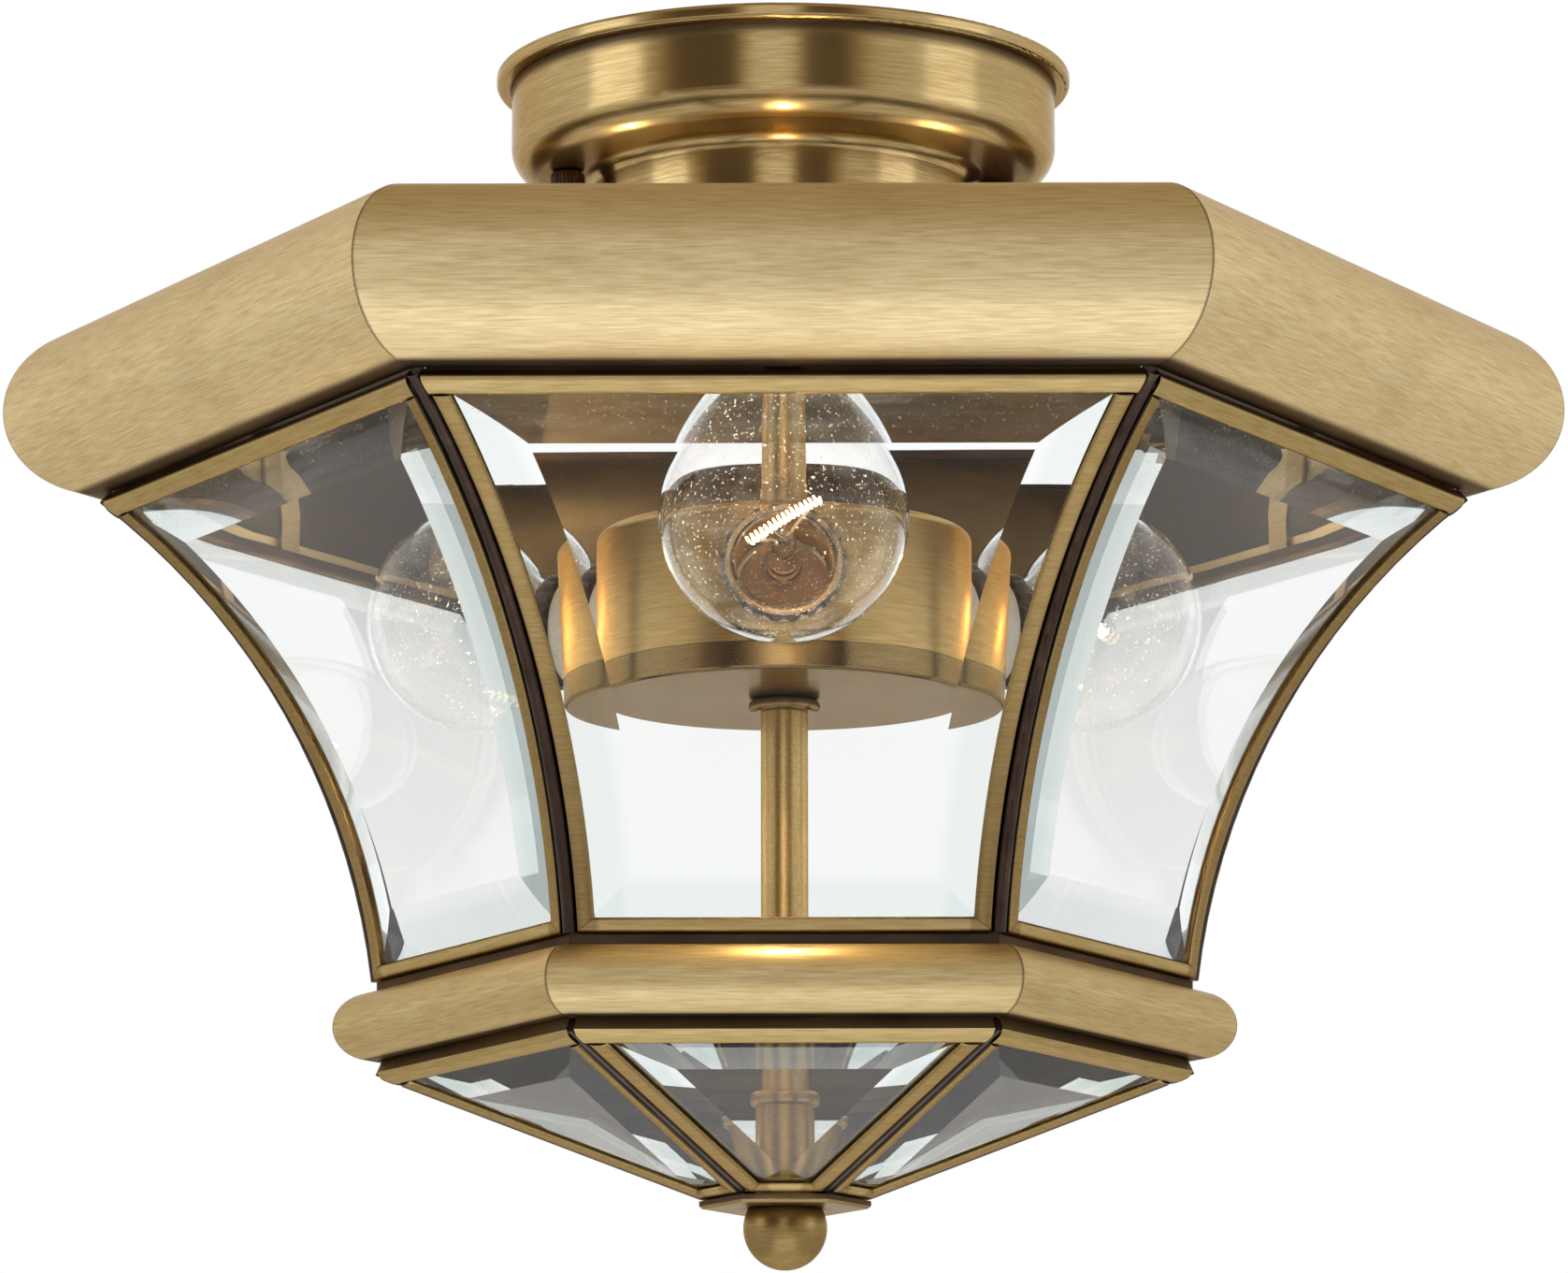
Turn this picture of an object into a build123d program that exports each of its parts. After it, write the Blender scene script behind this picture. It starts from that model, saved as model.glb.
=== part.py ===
from build123d import *
import os
from math import atan2, cos, degrees, hypot, radians, sin, sqrt, tan

# Lantern-style flush mount ceiling light, in millimetres.
# The origin is on the ceiling in the middle of the canopy, with +Z up. The hexagonal lantern has
# its front side towards -Y and two of its corners on the X axis. An apothem is the level distance
# from the Z axis to the middle of a side.

side_names = ["front", "front_right", "back_right", "back", "back_left", "front_left"]
lamp_names = ["front", "back_right", "back_left"]
side_step = 360 / len(side_names)
lamp_step = 360 / len(lamp_names)
half_step = radians(side_step / 2)

# Clearances
seam = 0.1              # between pieces that are soldered or screwed face to face
slide_gap = 0.3         # between the lantern and what it slides along
thread_gap = 0.08       # between a thread and its hole, radially

# Canopy and what is hidden in it
canopy_lip = 3.8        # how far the rolled lip stands out
canopy_lip_height = 3.8
canopy_lip_round = 1.2
canopy_sheet = 1.0
shoulder_round = 7.0
seat_z = -26.2          # flat ring that the canopy nuts press on
seat_rim = 2.4          # flat that is left outside the nuts
neck_radius = 46.4
neck_cove = 3.2
neck_bottom_z = -44.0
neck_round = 5.0
bar_clear = 3.7         # from the bar's ends to the canopy's wall
bar_width = 18.0
bar_thickness = 2.0
bar_angle = 8.0         # the bar lies a little askew, as the left canopy nut shows
box_spacing_wide = 88.9
box_spacing_narrow = 69.85
box_hole_radius = 2.4
bar_centre_hole_radius = 5.3
stud_radius = 2.05
stud_grip = 6.0         # length of thread in a canopy nut
stud_tip = 0.5
canopy_hole_radius = 2.5
canopy_nut_radius = 4.3
canopy_nut_height = 8.0
canopy_nut_dome = 2.0
canopy_nut_round = 1.0  # round the end that presses on the seat
ground_screw_offset = 20.0
ground_screw_radius = 1.7
ground_head_radius = 3.4
ground_head_height = 2.4

# Rod through the middle
rod_radius = 5.8
rod_thread_radius = 4.8
rod_thread_length = 11.0
rod_bore_radius = 3.2
wire_hole_radius = 2.2
rod_nut_flats = 17.0
rod_nut_height = 6.0
stub_radius = 3.0
stub_length = 9.0       # of the lower thread, below the bottom cap

# Lamp can
can_top_z = -115.4
can_bottom_z = -157.4
can_wall = 1.0
can_edge_round = 2.5
cap_skirt = 7.0
cap_register = 2.0
collar_radius = 8.8
collar_height = 3.2
collar_round = 1.4

# Bulbs and sockets, measured outwards along the lamp axis from where it crosses the Z axis
lamp_axis_z = -138.9
lamp_tilt = 7.0
bulb_clear = 1.8        # from a globe to its pane
globe_radius = 29.5
globe_wall = 0.8
bulb_length = 88.0
base_length = 26.0
base_radius = 13.05
base_contact_radius = 4.5
base_contact_height = 2.0
base_insulator_height = 3.5
bulb_neck_radius = 12.6
stem_radius = 5.0
stem_tip_radius = 2.2
stem_length = 20.0
lead_radius = 0.45
lead_length = 12.0
filament_span = 20.0
filament_radius = 0.7
socket_wall = 1.05
socket_floor = 3.8
socket_lip = 0.9        # from the bulb's base out to the socket's mouth
socket_ring_radius = 15.4
socket_ring_length = 5.5

# Crown, a hollow half-round moulding
crown_width = 387.0     # across the corners
crown_radius = 21.0
crown_axis_z = -85.0
sheet = 1.2
hem = 4.0
mitre_gap = 0.05
brace_width = 8.0
brace_clear = 1.4       # from the brace's end up from the crown's lower edge

# Frames and panes
recess = 2.6            # height of the dark groove between a moulding and a frame
bend_radius = 185.0     # outer face of the bent frames
top_proud = 0.6         # the frames' face past the back of the crown
bottom_proud = 1.0      # the frames' face past the back of the waist
came_flange = 0.8
came_slot = 3.6
slot_depth = 2.6
top_strip = 5.3
bottom_strip = 3.6
side_strip = 4.2
rib_gap = 4.0           # between neighbouring upper frames
rib_width = 3.4
rib_recess = 0.8
rib_round = 0.44        # of a rib's width, the round along its outer edges
glass_thickness = 5.0
glass_edge = 2.6
bevel_width = 14.5
glass_gap = 0.1
glass_margin = 0.3      # from the pane's edge to the bottom of its slot

# Waist and pyramid
waist_width = 220.8     # across the corners
waist_radius = 8.3
waist_axis_z = -238.5
waist_leg_set_back = 1.0
waist_leg = 2.4
ridge_set_back = 0.7
ridge_height = 1.6
ridge_lean = 0.75
pyramid_top_strip = 5.2
pyramid_low_strip = 3.4
pyramid_side_strip = 4.0
pyramid_bevel = 12.0
lower_rib_gap = 2.0
lower_rib_width = 1.6
lower_rib_recess = 0.6
cap_width = 41.8        # across the corners
cap_top_z = -281.3
cap_plate = 1.9
cap_edge = 0.7
sleeve_radius = 7.2
sleeve_top_z = -252.2
sleeve_collar_radius = 8.5
sleeve_collar_height = 3.5
sleeve_collar_round = 1.2
finial_radius = 10.2
finial_cut = 4.6        # from the ball's centre up to its flat top

# Worked-out sizes of the canopy, from its neck outwards past the nuts' seat
stud_circle_radius = neck_radius + neck_cove + canopy_nut_radius + seam
canopy_radius = stud_circle_radius + canopy_nut_radius + seat_rim + shoulder_round
canopy_lip_radius = canopy_radius + canopy_lip
bar_length = 2 * (canopy_radius - canopy_sheet - bar_clear)
stud_end_z = seat_z - stud_grip

# Worked-out places of the crown, the waist and the frames between them
crown_apothem = crown_width / 2 * cos(half_step)
crown_back = crown_apothem - crown_radius
crown_top_z = crown_axis_z + crown_radius
crown_bottom_z = crown_axis_z - crown_radius
waist_apothem = waist_width / 2 * cos(half_step)
waist_back = waist_apothem - waist_radius
waist_top_z = waist_axis_z + waist_radius
waist_bottom_z = waist_axis_z - waist_radius
panel_top_apothem = crown_back + top_proud
panel_top_z = crown_bottom_z - recess
panel_bottom_apothem = waist_back + bottom_proud
panel_bottom_z = waist_top_z + recess
came_depth = came_slot + 2 * came_flange

# Centre of the frames' bend, on the outside of the lantern
chord_out = panel_top_apothem - panel_bottom_apothem
chord_up = panel_top_z - panel_bottom_z
chord = hypot(chord_out, chord_up)
bend_offset = sqrt(bend_radius**2 - (chord / 2) ** 2)
bend_apothem = (panel_top_apothem + panel_bottom_apothem) / 2 + bend_offset * chord_up / chord
bend_z = (panel_top_z + panel_bottom_z) / 2 - bend_offset * chord_out / chord
low_angle = degrees(atan2(panel_bottom_z - bend_z, bend_apothem - panel_bottom_apothem))
high_angle = degrees(atan2(panel_top_z - bend_z, bend_apothem - panel_top_apothem))
frame_far = bend_radius + came_depth
pane_far = frame_far - came_flange - glass_gap

# Places along a lamp's axis: the globe stands clear of its pane, and the base, the socket and the
# can's wall follow from the globe
lamp_lean = radians(lamp_tilt)
bend_out = bend_apothem * cos(lamp_lean) + (bend_z - lamp_axis_z) * sin(lamp_lean)
bend_across = bend_apothem * sin(lamp_lean) - (bend_z - lamp_axis_z) * cos(lamp_lean)
globe_reach = bend_out - sqrt((pane_far + globe_radius + bulb_clear) ** 2 - bend_across**2)
bulb_tip = globe_reach + globe_radius
base_start = bulb_tip - bulb_length
base_end = base_start + base_length
socket_start = base_start - thread_gap - socket_floor
socket_mouth = base_end + socket_lip
ring_start = socket_mouth - socket_ring_length
can_radius = ring_start * cos(lamp_lean) - socket_ring_radius * sin(lamp_lean) - seam

# Slope of the pyramid, from its ridge in and down to the bottom cap
ridge_apothem = waist_back - ridge_set_back
pyramid_top_z = waist_bottom_z - recess
ridge_z = pyramid_top_z - ridge_height
cap_apothem = cap_width / 2 * cos(half_step)
cap_bottom_z = cap_top_z - cap_plate
slope_in = ridge_apothem - cap_apothem
slope_down = ridge_z - cap_top_z - seam
slope_length = hypot(slope_in, slope_down)

os.makedirs("parts", exist_ok=True)


def on_side(apothem, z):
    """A point of the front side's middle section, drawn on the YZ plane."""
    return (-apothem, z)


def side_planes(gap):
    """The front side's two mitre planes, moved in by the gap and facing the side's middle."""
    normals = [Vector(sign * cos(half_step), -sin(half_step), 0) for sign in (-1, 1)]
    return [Plane(origin=normal * gap, z_dir=normal) for normal in normals]


def trim_sides(gap):
    """Cut the current part off at the front side's mitre planes."""
    for plane in side_planes(gap):
        split(bisect_by=plane, keep=Keep.TOP)


def bent_plate(near, far, low_inset, high_inset, side_gap):
    """Part of the bent front side, between two radii and inset along the bend at each end."""
    start = low_angle + degrees(low_inset / bend_radius)
    sweep_angle = high_angle - degrees(high_inset / bend_radius) - start
    with BuildPart() as plate:
        with BuildSketch(Plane.YZ):
            with BuildLine():
                outer = CenterArc(on_side(bend_apothem, bend_z), near, start, sweep_angle)
                inner = CenterArc(on_side(bend_apothem, bend_z), far, start, sweep_angle)
                Line(outer @ 0, inner @ 0)
                Line(outer @ 1, inner @ 1)
            make_face()
        extrude(amount=crown_width / 2, both=True)
        trim_sides(side_gap)
    return plate.part


def slope_point(along, depth):
    """Apothem and height of a point down the pyramid's slope and in from its outer face."""
    apothem = ridge_apothem - along * slope_in / slope_length - depth * slope_down / slope_length
    z = ridge_z - along * slope_down / slope_length + depth * slope_in / slope_length
    return (apothem, z)


def flat_plate(near, far, start, end, side_gap):
    """Part of the front pyramid side, between two depths and two distances down the slope."""
    corners = [(start, near), (end, near), (end, far), (start, far)]
    with BuildPart() as plate:
        with BuildSketch(Plane.YZ):
            with BuildLine():
                Polyline([on_side(*slope_point(*corner)) for corner in corners], close=True)
            make_face()
        extrude(amount=waist_width / 2, both=True)
        trim_sides(side_gap)
    return plate.part


def rims(builder, radius):
    """The circular edges of a part that have this radius."""
    circles = builder.edges().filter_by(GeomType.CIRCLE)
    return circles.filter_by(lambda edge: abs(edge.radius - radius) < seam)


def save_round(piece, name, names, step):
    """Write turned copies of a piece, one for each name."""
    for index, place in enumerate(names):
        copy = piece.rotate(Axis.Z, index * step)
        copy.label = name.format(place)
        export_step(copy, f"parts/{copy.label}.step")


# The mounting bar's plane, on the ceiling and turned askew
bar_plane = Plane.XY.rotated((0, 0, bar_angle))

# Canopy, spun from sheet
with BuildPart() as canopy:
    with BuildSketch(Plane.XZ):
        with BuildLine():
            FilletPolyline(
                (canopy_radius, -canopy_lip_height / 2),
                (canopy_radius, seat_z),
                (neck_radius, seat_z),
                (neck_radius, neck_bottom_z),
                (rod_thread_radius + thread_gap, neck_bottom_z),
                radius=(shoulder_round, neck_cove, neck_round),
            )
            offset(amount=canopy_sheet, side=Side.RIGHT)
        make_face()
    revolve(axis=Axis.Z)
    with BuildSketch(Plane.XZ):
        with BuildLine():
            Polyline(
                (canopy_radius - canopy_sheet, 0),
                (canopy_lip_radius, 0),
                (canopy_lip_radius, -canopy_lip_height),
                (canopy_radius, -canopy_lip_height),
                (canopy_radius - canopy_sheet, -canopy_lip_height),
                close=True,
            )
        make_face()
    revolve(axis=Axis.Z)
    fillet(rims(canopy, canopy_lip_radius), canopy_lip_round)
    with BuildSketch(bar_plane):
        with PolarLocations(stud_circle_radius, 2):
            Circle(canopy_hole_radius)
    extrude(amount=neck_bottom_z, mode=Mode.SUBTRACT)
canopy.part.label = "canopy"
export_step(canopy.part, "parts/canopy.step")

# Mounting bar, the flat strap that is screwed to the ceiling box
with BuildPart() as mounting_bar:
    with BuildSketch(bar_plane):
        SlotOverall(bar_length, bar_width)
        Circle(bar_centre_hole_radius, mode=Mode.SUBTRACT)
        with PolarLocations(stud_circle_radius, 2):
            Circle(stud_radius + thread_gap / 2, mode=Mode.SUBTRACT)
        with PolarLocations(box_spacing_wide / 2, 2):
            Circle(box_hole_radius, mode=Mode.SUBTRACT)
        with PolarLocations(box_spacing_narrow / 2, 2):
            Circle(box_hole_radius, mode=Mode.SUBTRACT)
        with Locations((ground_screw_offset, 0)):
            Circle(ground_screw_radius + thread_gap / 2, mode=Mode.SUBTRACT)
    extrude(amount=-bar_thickness)
mounting_bar.part.label = "mounting_bar"
export_step(mounting_bar.part, "parts/mounting_bar.step")

# Canopy studs, two screws that hang from the bar
with BuildPart() as canopy_studs:
    with BuildSketch(bar_plane):
        with PolarLocations(stud_circle_radius, 2):
            Circle(stud_radius)
    extrude(amount=stud_end_z)
    chamfer(canopy_studs.edges().group_by(Axis.Z)[0], stud_tip)
canopy_studs.part.label = "canopy_studs"
export_step(canopy_studs.part, "parts/canopy_studs.step")

# Canopy nuts, domed at the closed end and rounded where they press on the canopy
with BuildPart() as canopy_nut:
    with BuildSketch(bar_plane.offset(seat_z - seam)):
        with Locations((stud_circle_radius, 0)):
            Circle(canopy_nut_radius)
    extrude(amount=-canopy_nut_height)
    fillet(canopy_nut.edges().group_by(Axis.Z)[0], canopy_nut_dome)
    fillet(canopy_nut.edges().group_by(Axis.Z)[-1], canopy_nut_round)
    with BuildSketch(bar_plane.offset(seat_z)):
        with Locations((stud_circle_radius, 0)):
            Circle(stud_radius + thread_gap)
    extrude(amount=stud_end_z - thread_gap - seat_z, mode=Mode.SUBTRACT)
save_round(canopy_nut.part, "canopy_nut_{}", ["right", "left"], 180)

# Ground screw under the bar
with BuildPart() as ground_screw:
    with BuildSketch(bar_plane):
        with Locations((ground_screw_offset, 0)):
            Circle(ground_screw_radius)
    extrude(amount=-bar_thickness)
    with BuildSketch(bar_plane.offset(-bar_thickness)):
        with Locations((ground_screw_offset, 0)):
            Circle(ground_head_radius)
    extrude(amount=-ground_head_height)
    fillet(ground_screw.edges().group_by(Axis.Z)[0], ground_head_height / 2)
ground_screw.part.label = "ground_screw"
export_step(ground_screw.part, "parts/ground_screw.step")

# Centre rod, a pipe above the sockets for the wires, solid below them
rod_top_z = neck_bottom_z + rod_thread_length
rod_shoulder_z = neck_bottom_z - seam
rod_end_z = cap_top_z + slide_gap
stub_end_z = cap_bottom_z - stub_length
wire_hole_z = can_top_z - can_wall - 2 * wire_hole_radius
with BuildPart() as centre_rod:
    with BuildSketch(Plane.XZ):
        with BuildLine():
            Polyline(
                (0, rod_top_z),
                (rod_thread_radius, rod_top_z),
                (rod_thread_radius, rod_shoulder_z),
                (rod_radius, rod_shoulder_z),
                (rod_radius, rod_end_z),
                (stub_radius, rod_end_z),
                (stub_radius, stub_end_z),
                (0, stub_end_z),
                close=True,
            )
        make_face()
    revolve(axis=Axis.Z)
    with BuildSketch(Plane.XY.offset(rod_top_z)):
        Circle(rod_bore_radius)
    extrude(amount=wire_hole_z - 2 * wire_hole_radius - rod_top_z, mode=Mode.SUBTRACT)
    with BuildSketch(Plane.XZ):
        with Locations((0, wire_hole_z)):
            Circle(wire_hole_radius)
    extrude(amount=2 * rod_radius, both=True, mode=Mode.SUBTRACT)
centre_rod.part.label = "centre_rod"
export_step(centre_rod.part, "parts/centre_rod.step")

# Rod nut in the canopy's neck
with BuildPart() as rod_nut:
    with BuildSketch(Plane.XY.offset(neck_bottom_z + canopy_sheet + seam)):
        RegularPolygon(rod_nut_flats / 2, 6, major_radius=False)
        Circle(rod_thread_radius + thread_gap, mode=Mode.SUBTRACT)
    extrude(amount=rod_nut_height)
rod_nut.part.label = "rod_nut"
export_step(rod_nut.part, "parts/rod_nut.step")

# Planes of the front lamp: the lamp plane's X axis runs out along the bulb
lamp_out = Vector(0, -cos(lamp_lean), sin(lamp_lean))
lamp_plane = Plane(origin=(0, 0, lamp_axis_z), x_dir=lamp_out, z_dir=(-1, 0, 0))
lamp_axis = Axis(lamp_plane.origin, lamp_out)
socket_radius = base_radius + thread_gap + socket_wall

# Lamp can, a cup turned upside down with a hole for each socket
can_rim_z = can_bottom_z + cap_skirt
with BuildPart() as socket_hole:
    with BuildSketch(Plane(lamp_plane.origin, z_dir=lamp_out)):
        Circle(socket_radius + seam)
    extrude(amount=socket_mouth)
with BuildPart() as lamp_can:
    with BuildSketch(Plane.XZ):
        with BuildLine():
            FilletPolyline(
                (rod_radius + seam, can_top_z),
                (can_radius, can_top_z),
                (can_radius, can_rim_z + seam),
                radius=can_edge_round,
            )
            offset(amount=can_wall, side=Side.RIGHT)
        make_face()
    revolve(axis=Axis.Z)
    for index in range(len(lamp_names)):
        add(socket_hole.part.rotate(Axis.Z, index * lamp_step), mode=Mode.SUBTRACT)
lamp_can.part.label = "lamp_can"
export_step(lamp_can.part, "parts/lamp_can.step")

# Can cap, a lid with a skirt and a register ring that centres it in the can
register_radius = can_radius - can_wall - seam
with BuildPart() as can_cap:
    with BuildSketch(Plane.XZ):
        with BuildLine():
            Polyline(
                (rod_radius + seam, can_bottom_z),
                (can_radius, can_bottom_z),
                (can_radius, can_rim_z),
                (register_radius, can_rim_z),
                (register_radius, can_rim_z + cap_register),
                (register_radius - can_wall, can_rim_z + cap_register),
                (register_radius - can_wall, can_bottom_z + can_wall),
                (rod_radius + seam, can_bottom_z + can_wall),
                close=True,
            )
        make_face()
    revolve(axis=Axis.Z)
    rim = can_cap.edges().group_by(Axis.Z)[0].sort_by(SortBy.LENGTH)[-1]
    fillet(rim, can_wall)
can_cap.part.label = "can_cap"
export_step(can_cap.part, "parts/can_cap.step")

# Rod collar, the rounded ring that holds the can cap up
with BuildPart() as rod_collar:
    with BuildSketch(Plane.XY.offset(can_bottom_z - seam)):
        Circle(collar_radius)
        Circle(rod_radius + seam / 2, mode=Mode.SUBTRACT)
    extrude(amount=-collar_height)
    fillet(rims(rod_collar, collar_radius), collar_round)
rod_collar.part.label = "rod_collar"
export_step(rod_collar.part, "parts/rod_collar.step")

# Lamp sockets
with BuildPart() as lamp_socket:
    with BuildSketch(lamp_plane):
        with BuildLine():
            Polyline(
                (socket_start, 0),
                (socket_start, socket_radius),
                (socket_mouth, socket_radius),
                (socket_mouth, base_radius + thread_gap),
                (base_start - thread_gap, base_radius + thread_gap),
                (base_start - thread_gap, 0),
                close=True,
            )
        make_face()
    revolve(axis=lamp_axis)
save_round(lamp_socket.part, "lamp_socket_{}", lamp_names, lamp_step)

# Socket rings, screwed onto the sockets against the outside of the can
with BuildPart() as socket_ring:
    with BuildSketch(lamp_plane):
        with BuildLine():
            Polyline(
                (ring_start, socket_radius + seam),
                (ring_start, socket_ring_radius),
                (socket_mouth, socket_ring_radius),
                (socket_mouth, socket_radius + seam),
                close=True,
            )
        make_face()
    revolve(axis=lamp_axis)
with BuildPart() as socket_rings:
    for index in range(len(lamp_names)):
        add(socket_ring.part.rotate(Axis.Z, index * lamp_step))
socket_rings.part.label = "socket_rings"
export_step(socket_rings.part, "parts/socket_rings.step")

# Bulb envelope: a globe, and a neck on an arc that runs smoothly into it
neck_run = globe_reach - base_end
neck_step = globe_radius - bulb_neck_radius
neck_bend = (neck_run**2 + bulb_neck_radius**2 - globe_radius**2) / (2 * neck_step)
neck_centre = (base_end, bulb_neck_radius + neck_bend)
neck_turn = degrees(atan2(neck_run, neck_centre[1]))
with BuildPart() as bulb_glass:
    with BuildSketch(lamp_plane):
        with BuildLine():
            neck_outside = CenterArc(neck_centre, neck_bend, -90, neck_turn)
            globe_outside = CenterArc((globe_reach, 0), globe_radius, 90 + neck_turn, -90 - neck_turn)
            neck_inside = CenterArc(neck_centre, neck_bend + globe_wall, -90, neck_turn)
            globe_inside = CenterArc(
                (globe_reach, 0), globe_radius - globe_wall, 90 + neck_turn, -90 - neck_turn
            )
            Line(neck_outside @ 0, neck_inside @ 0)
            Line(globe_outside @ 1, globe_inside @ 1)
        make_face()
    revolve(axis=lamp_axis)
save_round(bulb_glass.part, "bulb_glass_{}", lamp_names, lamp_step)

# Bulb base, a screw shell with an insulator and a contact
shell_start = base_start + base_contact_height + base_insulator_height
with BuildPart() as bulb_base:
    with BuildSketch(lamp_plane):
        with BuildLine():
            Polyline(
                (base_start, 0),
                (base_start, base_contact_radius),
                (base_start + base_contact_height, base_contact_radius),
                (shell_start, base_radius - base_contact_height),
                (shell_start + base_contact_height, base_radius),
                (base_end, base_radius),
                (base_end, 0),
                close=True,
            )
        make_face()
    revolve(axis=lamp_axis)
save_round(bulb_base.part, "bulb_base_{}", lamp_names, lamp_step)

# Filament on its two leads and glass stem, in one piece
stem_end = base_end + stem_length
filament_at = stem_end + lead_length
with BuildPart() as bulb_filament:
    with BuildSketch(lamp_plane):
        with BuildLine():
            Polyline(
                (base_end, 0),
                (base_end, stem_radius),
                (base_end + stem_radius, stem_radius),
                (stem_end, stem_tip_radius),
                (stem_end, 0),
                close=True,
            )
        make_face()
    revolve(axis=lamp_axis)
    for side in (-1, 1):
        foot = lamp_plane.from_local_coords((stem_end - stem_tip_radius, 0, side * stem_tip_radius / 2))
        head = lamp_plane.from_local_coords((filament_at, 0, side * filament_span / 2))
        lead = Plane(foot, z_dir=head - foot)
        add(Solid.make_cylinder(lead_radius, (head - foot).length, lead))
    first = lamp_plane.from_local_coords((filament_at, 0, -filament_span / 2 - lead_radius))
    last = lamp_plane.from_local_coords((filament_at, 0, filament_span / 2 + lead_radius))
    coil = Plane(first, z_dir=last - first)
    add(Solid.make_cylinder(filament_radius, (last - first).length, coil))
save_round(bulb_filament.part, "bulb_filament_{}", lamp_names, lamp_step)

# Crown segments: half-round sheet with a short lip at the top and a hem at the bottom
with BuildPart() as crown:
    with BuildSketch(Plane.YZ):
        with BuildLine():
            outside = ThreePointArc(
                on_side(crown_back, crown_bottom_z),
                on_side(crown_apothem, crown_axis_z),
                on_side(crown_back, crown_top_z),
            )
            inside = ThreePointArc(
                on_side(crown_back, crown_top_z - sheet),
                on_side(crown_apothem - sheet, crown_axis_z),
                on_side(crown_back, crown_bottom_z + sheet),
            )
            Polyline(
                outside @ 1,
                on_side(crown_back - sheet, crown_top_z),
                on_side(crown_back - sheet, crown_top_z - sheet),
                inside @ 0,
            )
            Polyline(
                inside @ 1,
                on_side(crown_back, crown_bottom_z + hem),
                on_side(crown_back - sheet, crown_bottom_z + hem),
                on_side(crown_back - sheet, crown_bottom_z),
                outside @ 0,
            )
        make_face()
    extrude(amount=crown_width / 2, both=True)
    trim_sides(mitre_gap)
save_round(crown.part, "crown_{}", side_names, side_step)

# Crown braces, a strap across the open back of each segment
brace_end_z = crown_bottom_z + brace_clear
with BuildPart() as crown_brace:
    with BuildSketch(Plane.XZ.offset(crown_back - sheet - mitre_gap)):
        with Locations((0, (crown_top_z + brace_end_z) / 2)):
            Rectangle(brace_width, crown_top_z - brace_end_z)
    extrude(amount=-sheet)
with BuildPart() as crown_braces:
    for index in range(len(side_names)):
        add(crown_brace.part.rotate(Axis.Z, index * side_step))
crown_braces.part.label = "crown_braces"
export_step(crown_braces.part, "parts/crown_braces.step")

# Upper frames, bent came with a slot round the inside for the pane
with BuildPart() as upper_frame:
    add(bent_plate(bend_radius, frame_far, 0, 0, rib_gap / 2))
    light = bent_plate(
        bend_radius - came_depth,
        frame_far + came_depth,
        bottom_strip,
        top_strip,
        rib_gap / 2 + side_strip,
    )
    add(light, mode=Mode.SUBTRACT)
    slot = bent_plate(
        bend_radius + came_flange,
        frame_far - came_flange,
        bottom_strip - slot_depth,
        top_strip - slot_depth,
        rib_gap / 2 + side_strip - slot_depth,
    )
    add(slot, mode=Mode.SUBTRACT)
save_round(upper_frame.part, "upper_frame_{}", side_names, side_step)

# Upper panes, bent glass bevelled on the outside
pane_inset = slot_depth - glass_margin
with BuildPart() as upper_pane:
    add(
        bent_plate(
            pane_far - glass_thickness,
            pane_far,
            bottom_strip - pane_inset,
            top_strip - pane_inset,
            rib_gap / 2 + side_strip - pane_inset,
        )
    )
    face = upper_pane.faces().filter_by(GeomType.CYLINDER).sort_by(lambda one: one.radius)[0]
    chamfer(face.edges(), length=bevel_width, length2=glass_thickness - glass_edge, reference=face)
save_round(upper_pane.part, "upper_pane_{}", side_names, side_step)

# Waist moulding: half-round sheet with a leg up to the frames and a hem at the bottom
leg_face = waist_back - waist_leg_set_back
with BuildPart() as waist_segment:
    with BuildSketch(Plane.YZ):
        with BuildLine():
            outside = ThreePointArc(
                on_side(waist_back, waist_bottom_z),
                on_side(waist_apothem, waist_axis_z),
                on_side(waist_back, waist_top_z),
            )
            inside = ThreePointArc(
                on_side(waist_back, waist_top_z - sheet),
                on_side(waist_apothem - sheet, waist_axis_z),
                on_side(waist_back, waist_bottom_z + sheet),
            )
            Polyline(
                outside @ 1,
                on_side(leg_face, waist_top_z),
                on_side(leg_face, panel_bottom_z - seam),
                on_side(leg_face - waist_leg, panel_bottom_z - seam),
                on_side(leg_face - waist_leg, waist_top_z - sheet),
                inside @ 0,
            )
            Polyline(
                inside @ 1,
                on_side(waist_back, waist_bottom_z + hem),
                on_side(waist_back - sheet, waist_bottom_z + hem),
                on_side(waist_back - sheet, waist_bottom_z),
                outside @ 0,
            )
        make_face()
    extrude(amount=waist_width / 2, both=True)
    trim_sides(mitre_gap)
with BuildPart() as waist_moulding:
    for index in range(len(side_names)):
        add(waist_segment.part.rotate(Axis.Z, index * side_step))
waist_moulding.part.label = "waist_moulding"
export_step(waist_moulding.part, "parts/waist_moulding.step")

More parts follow.
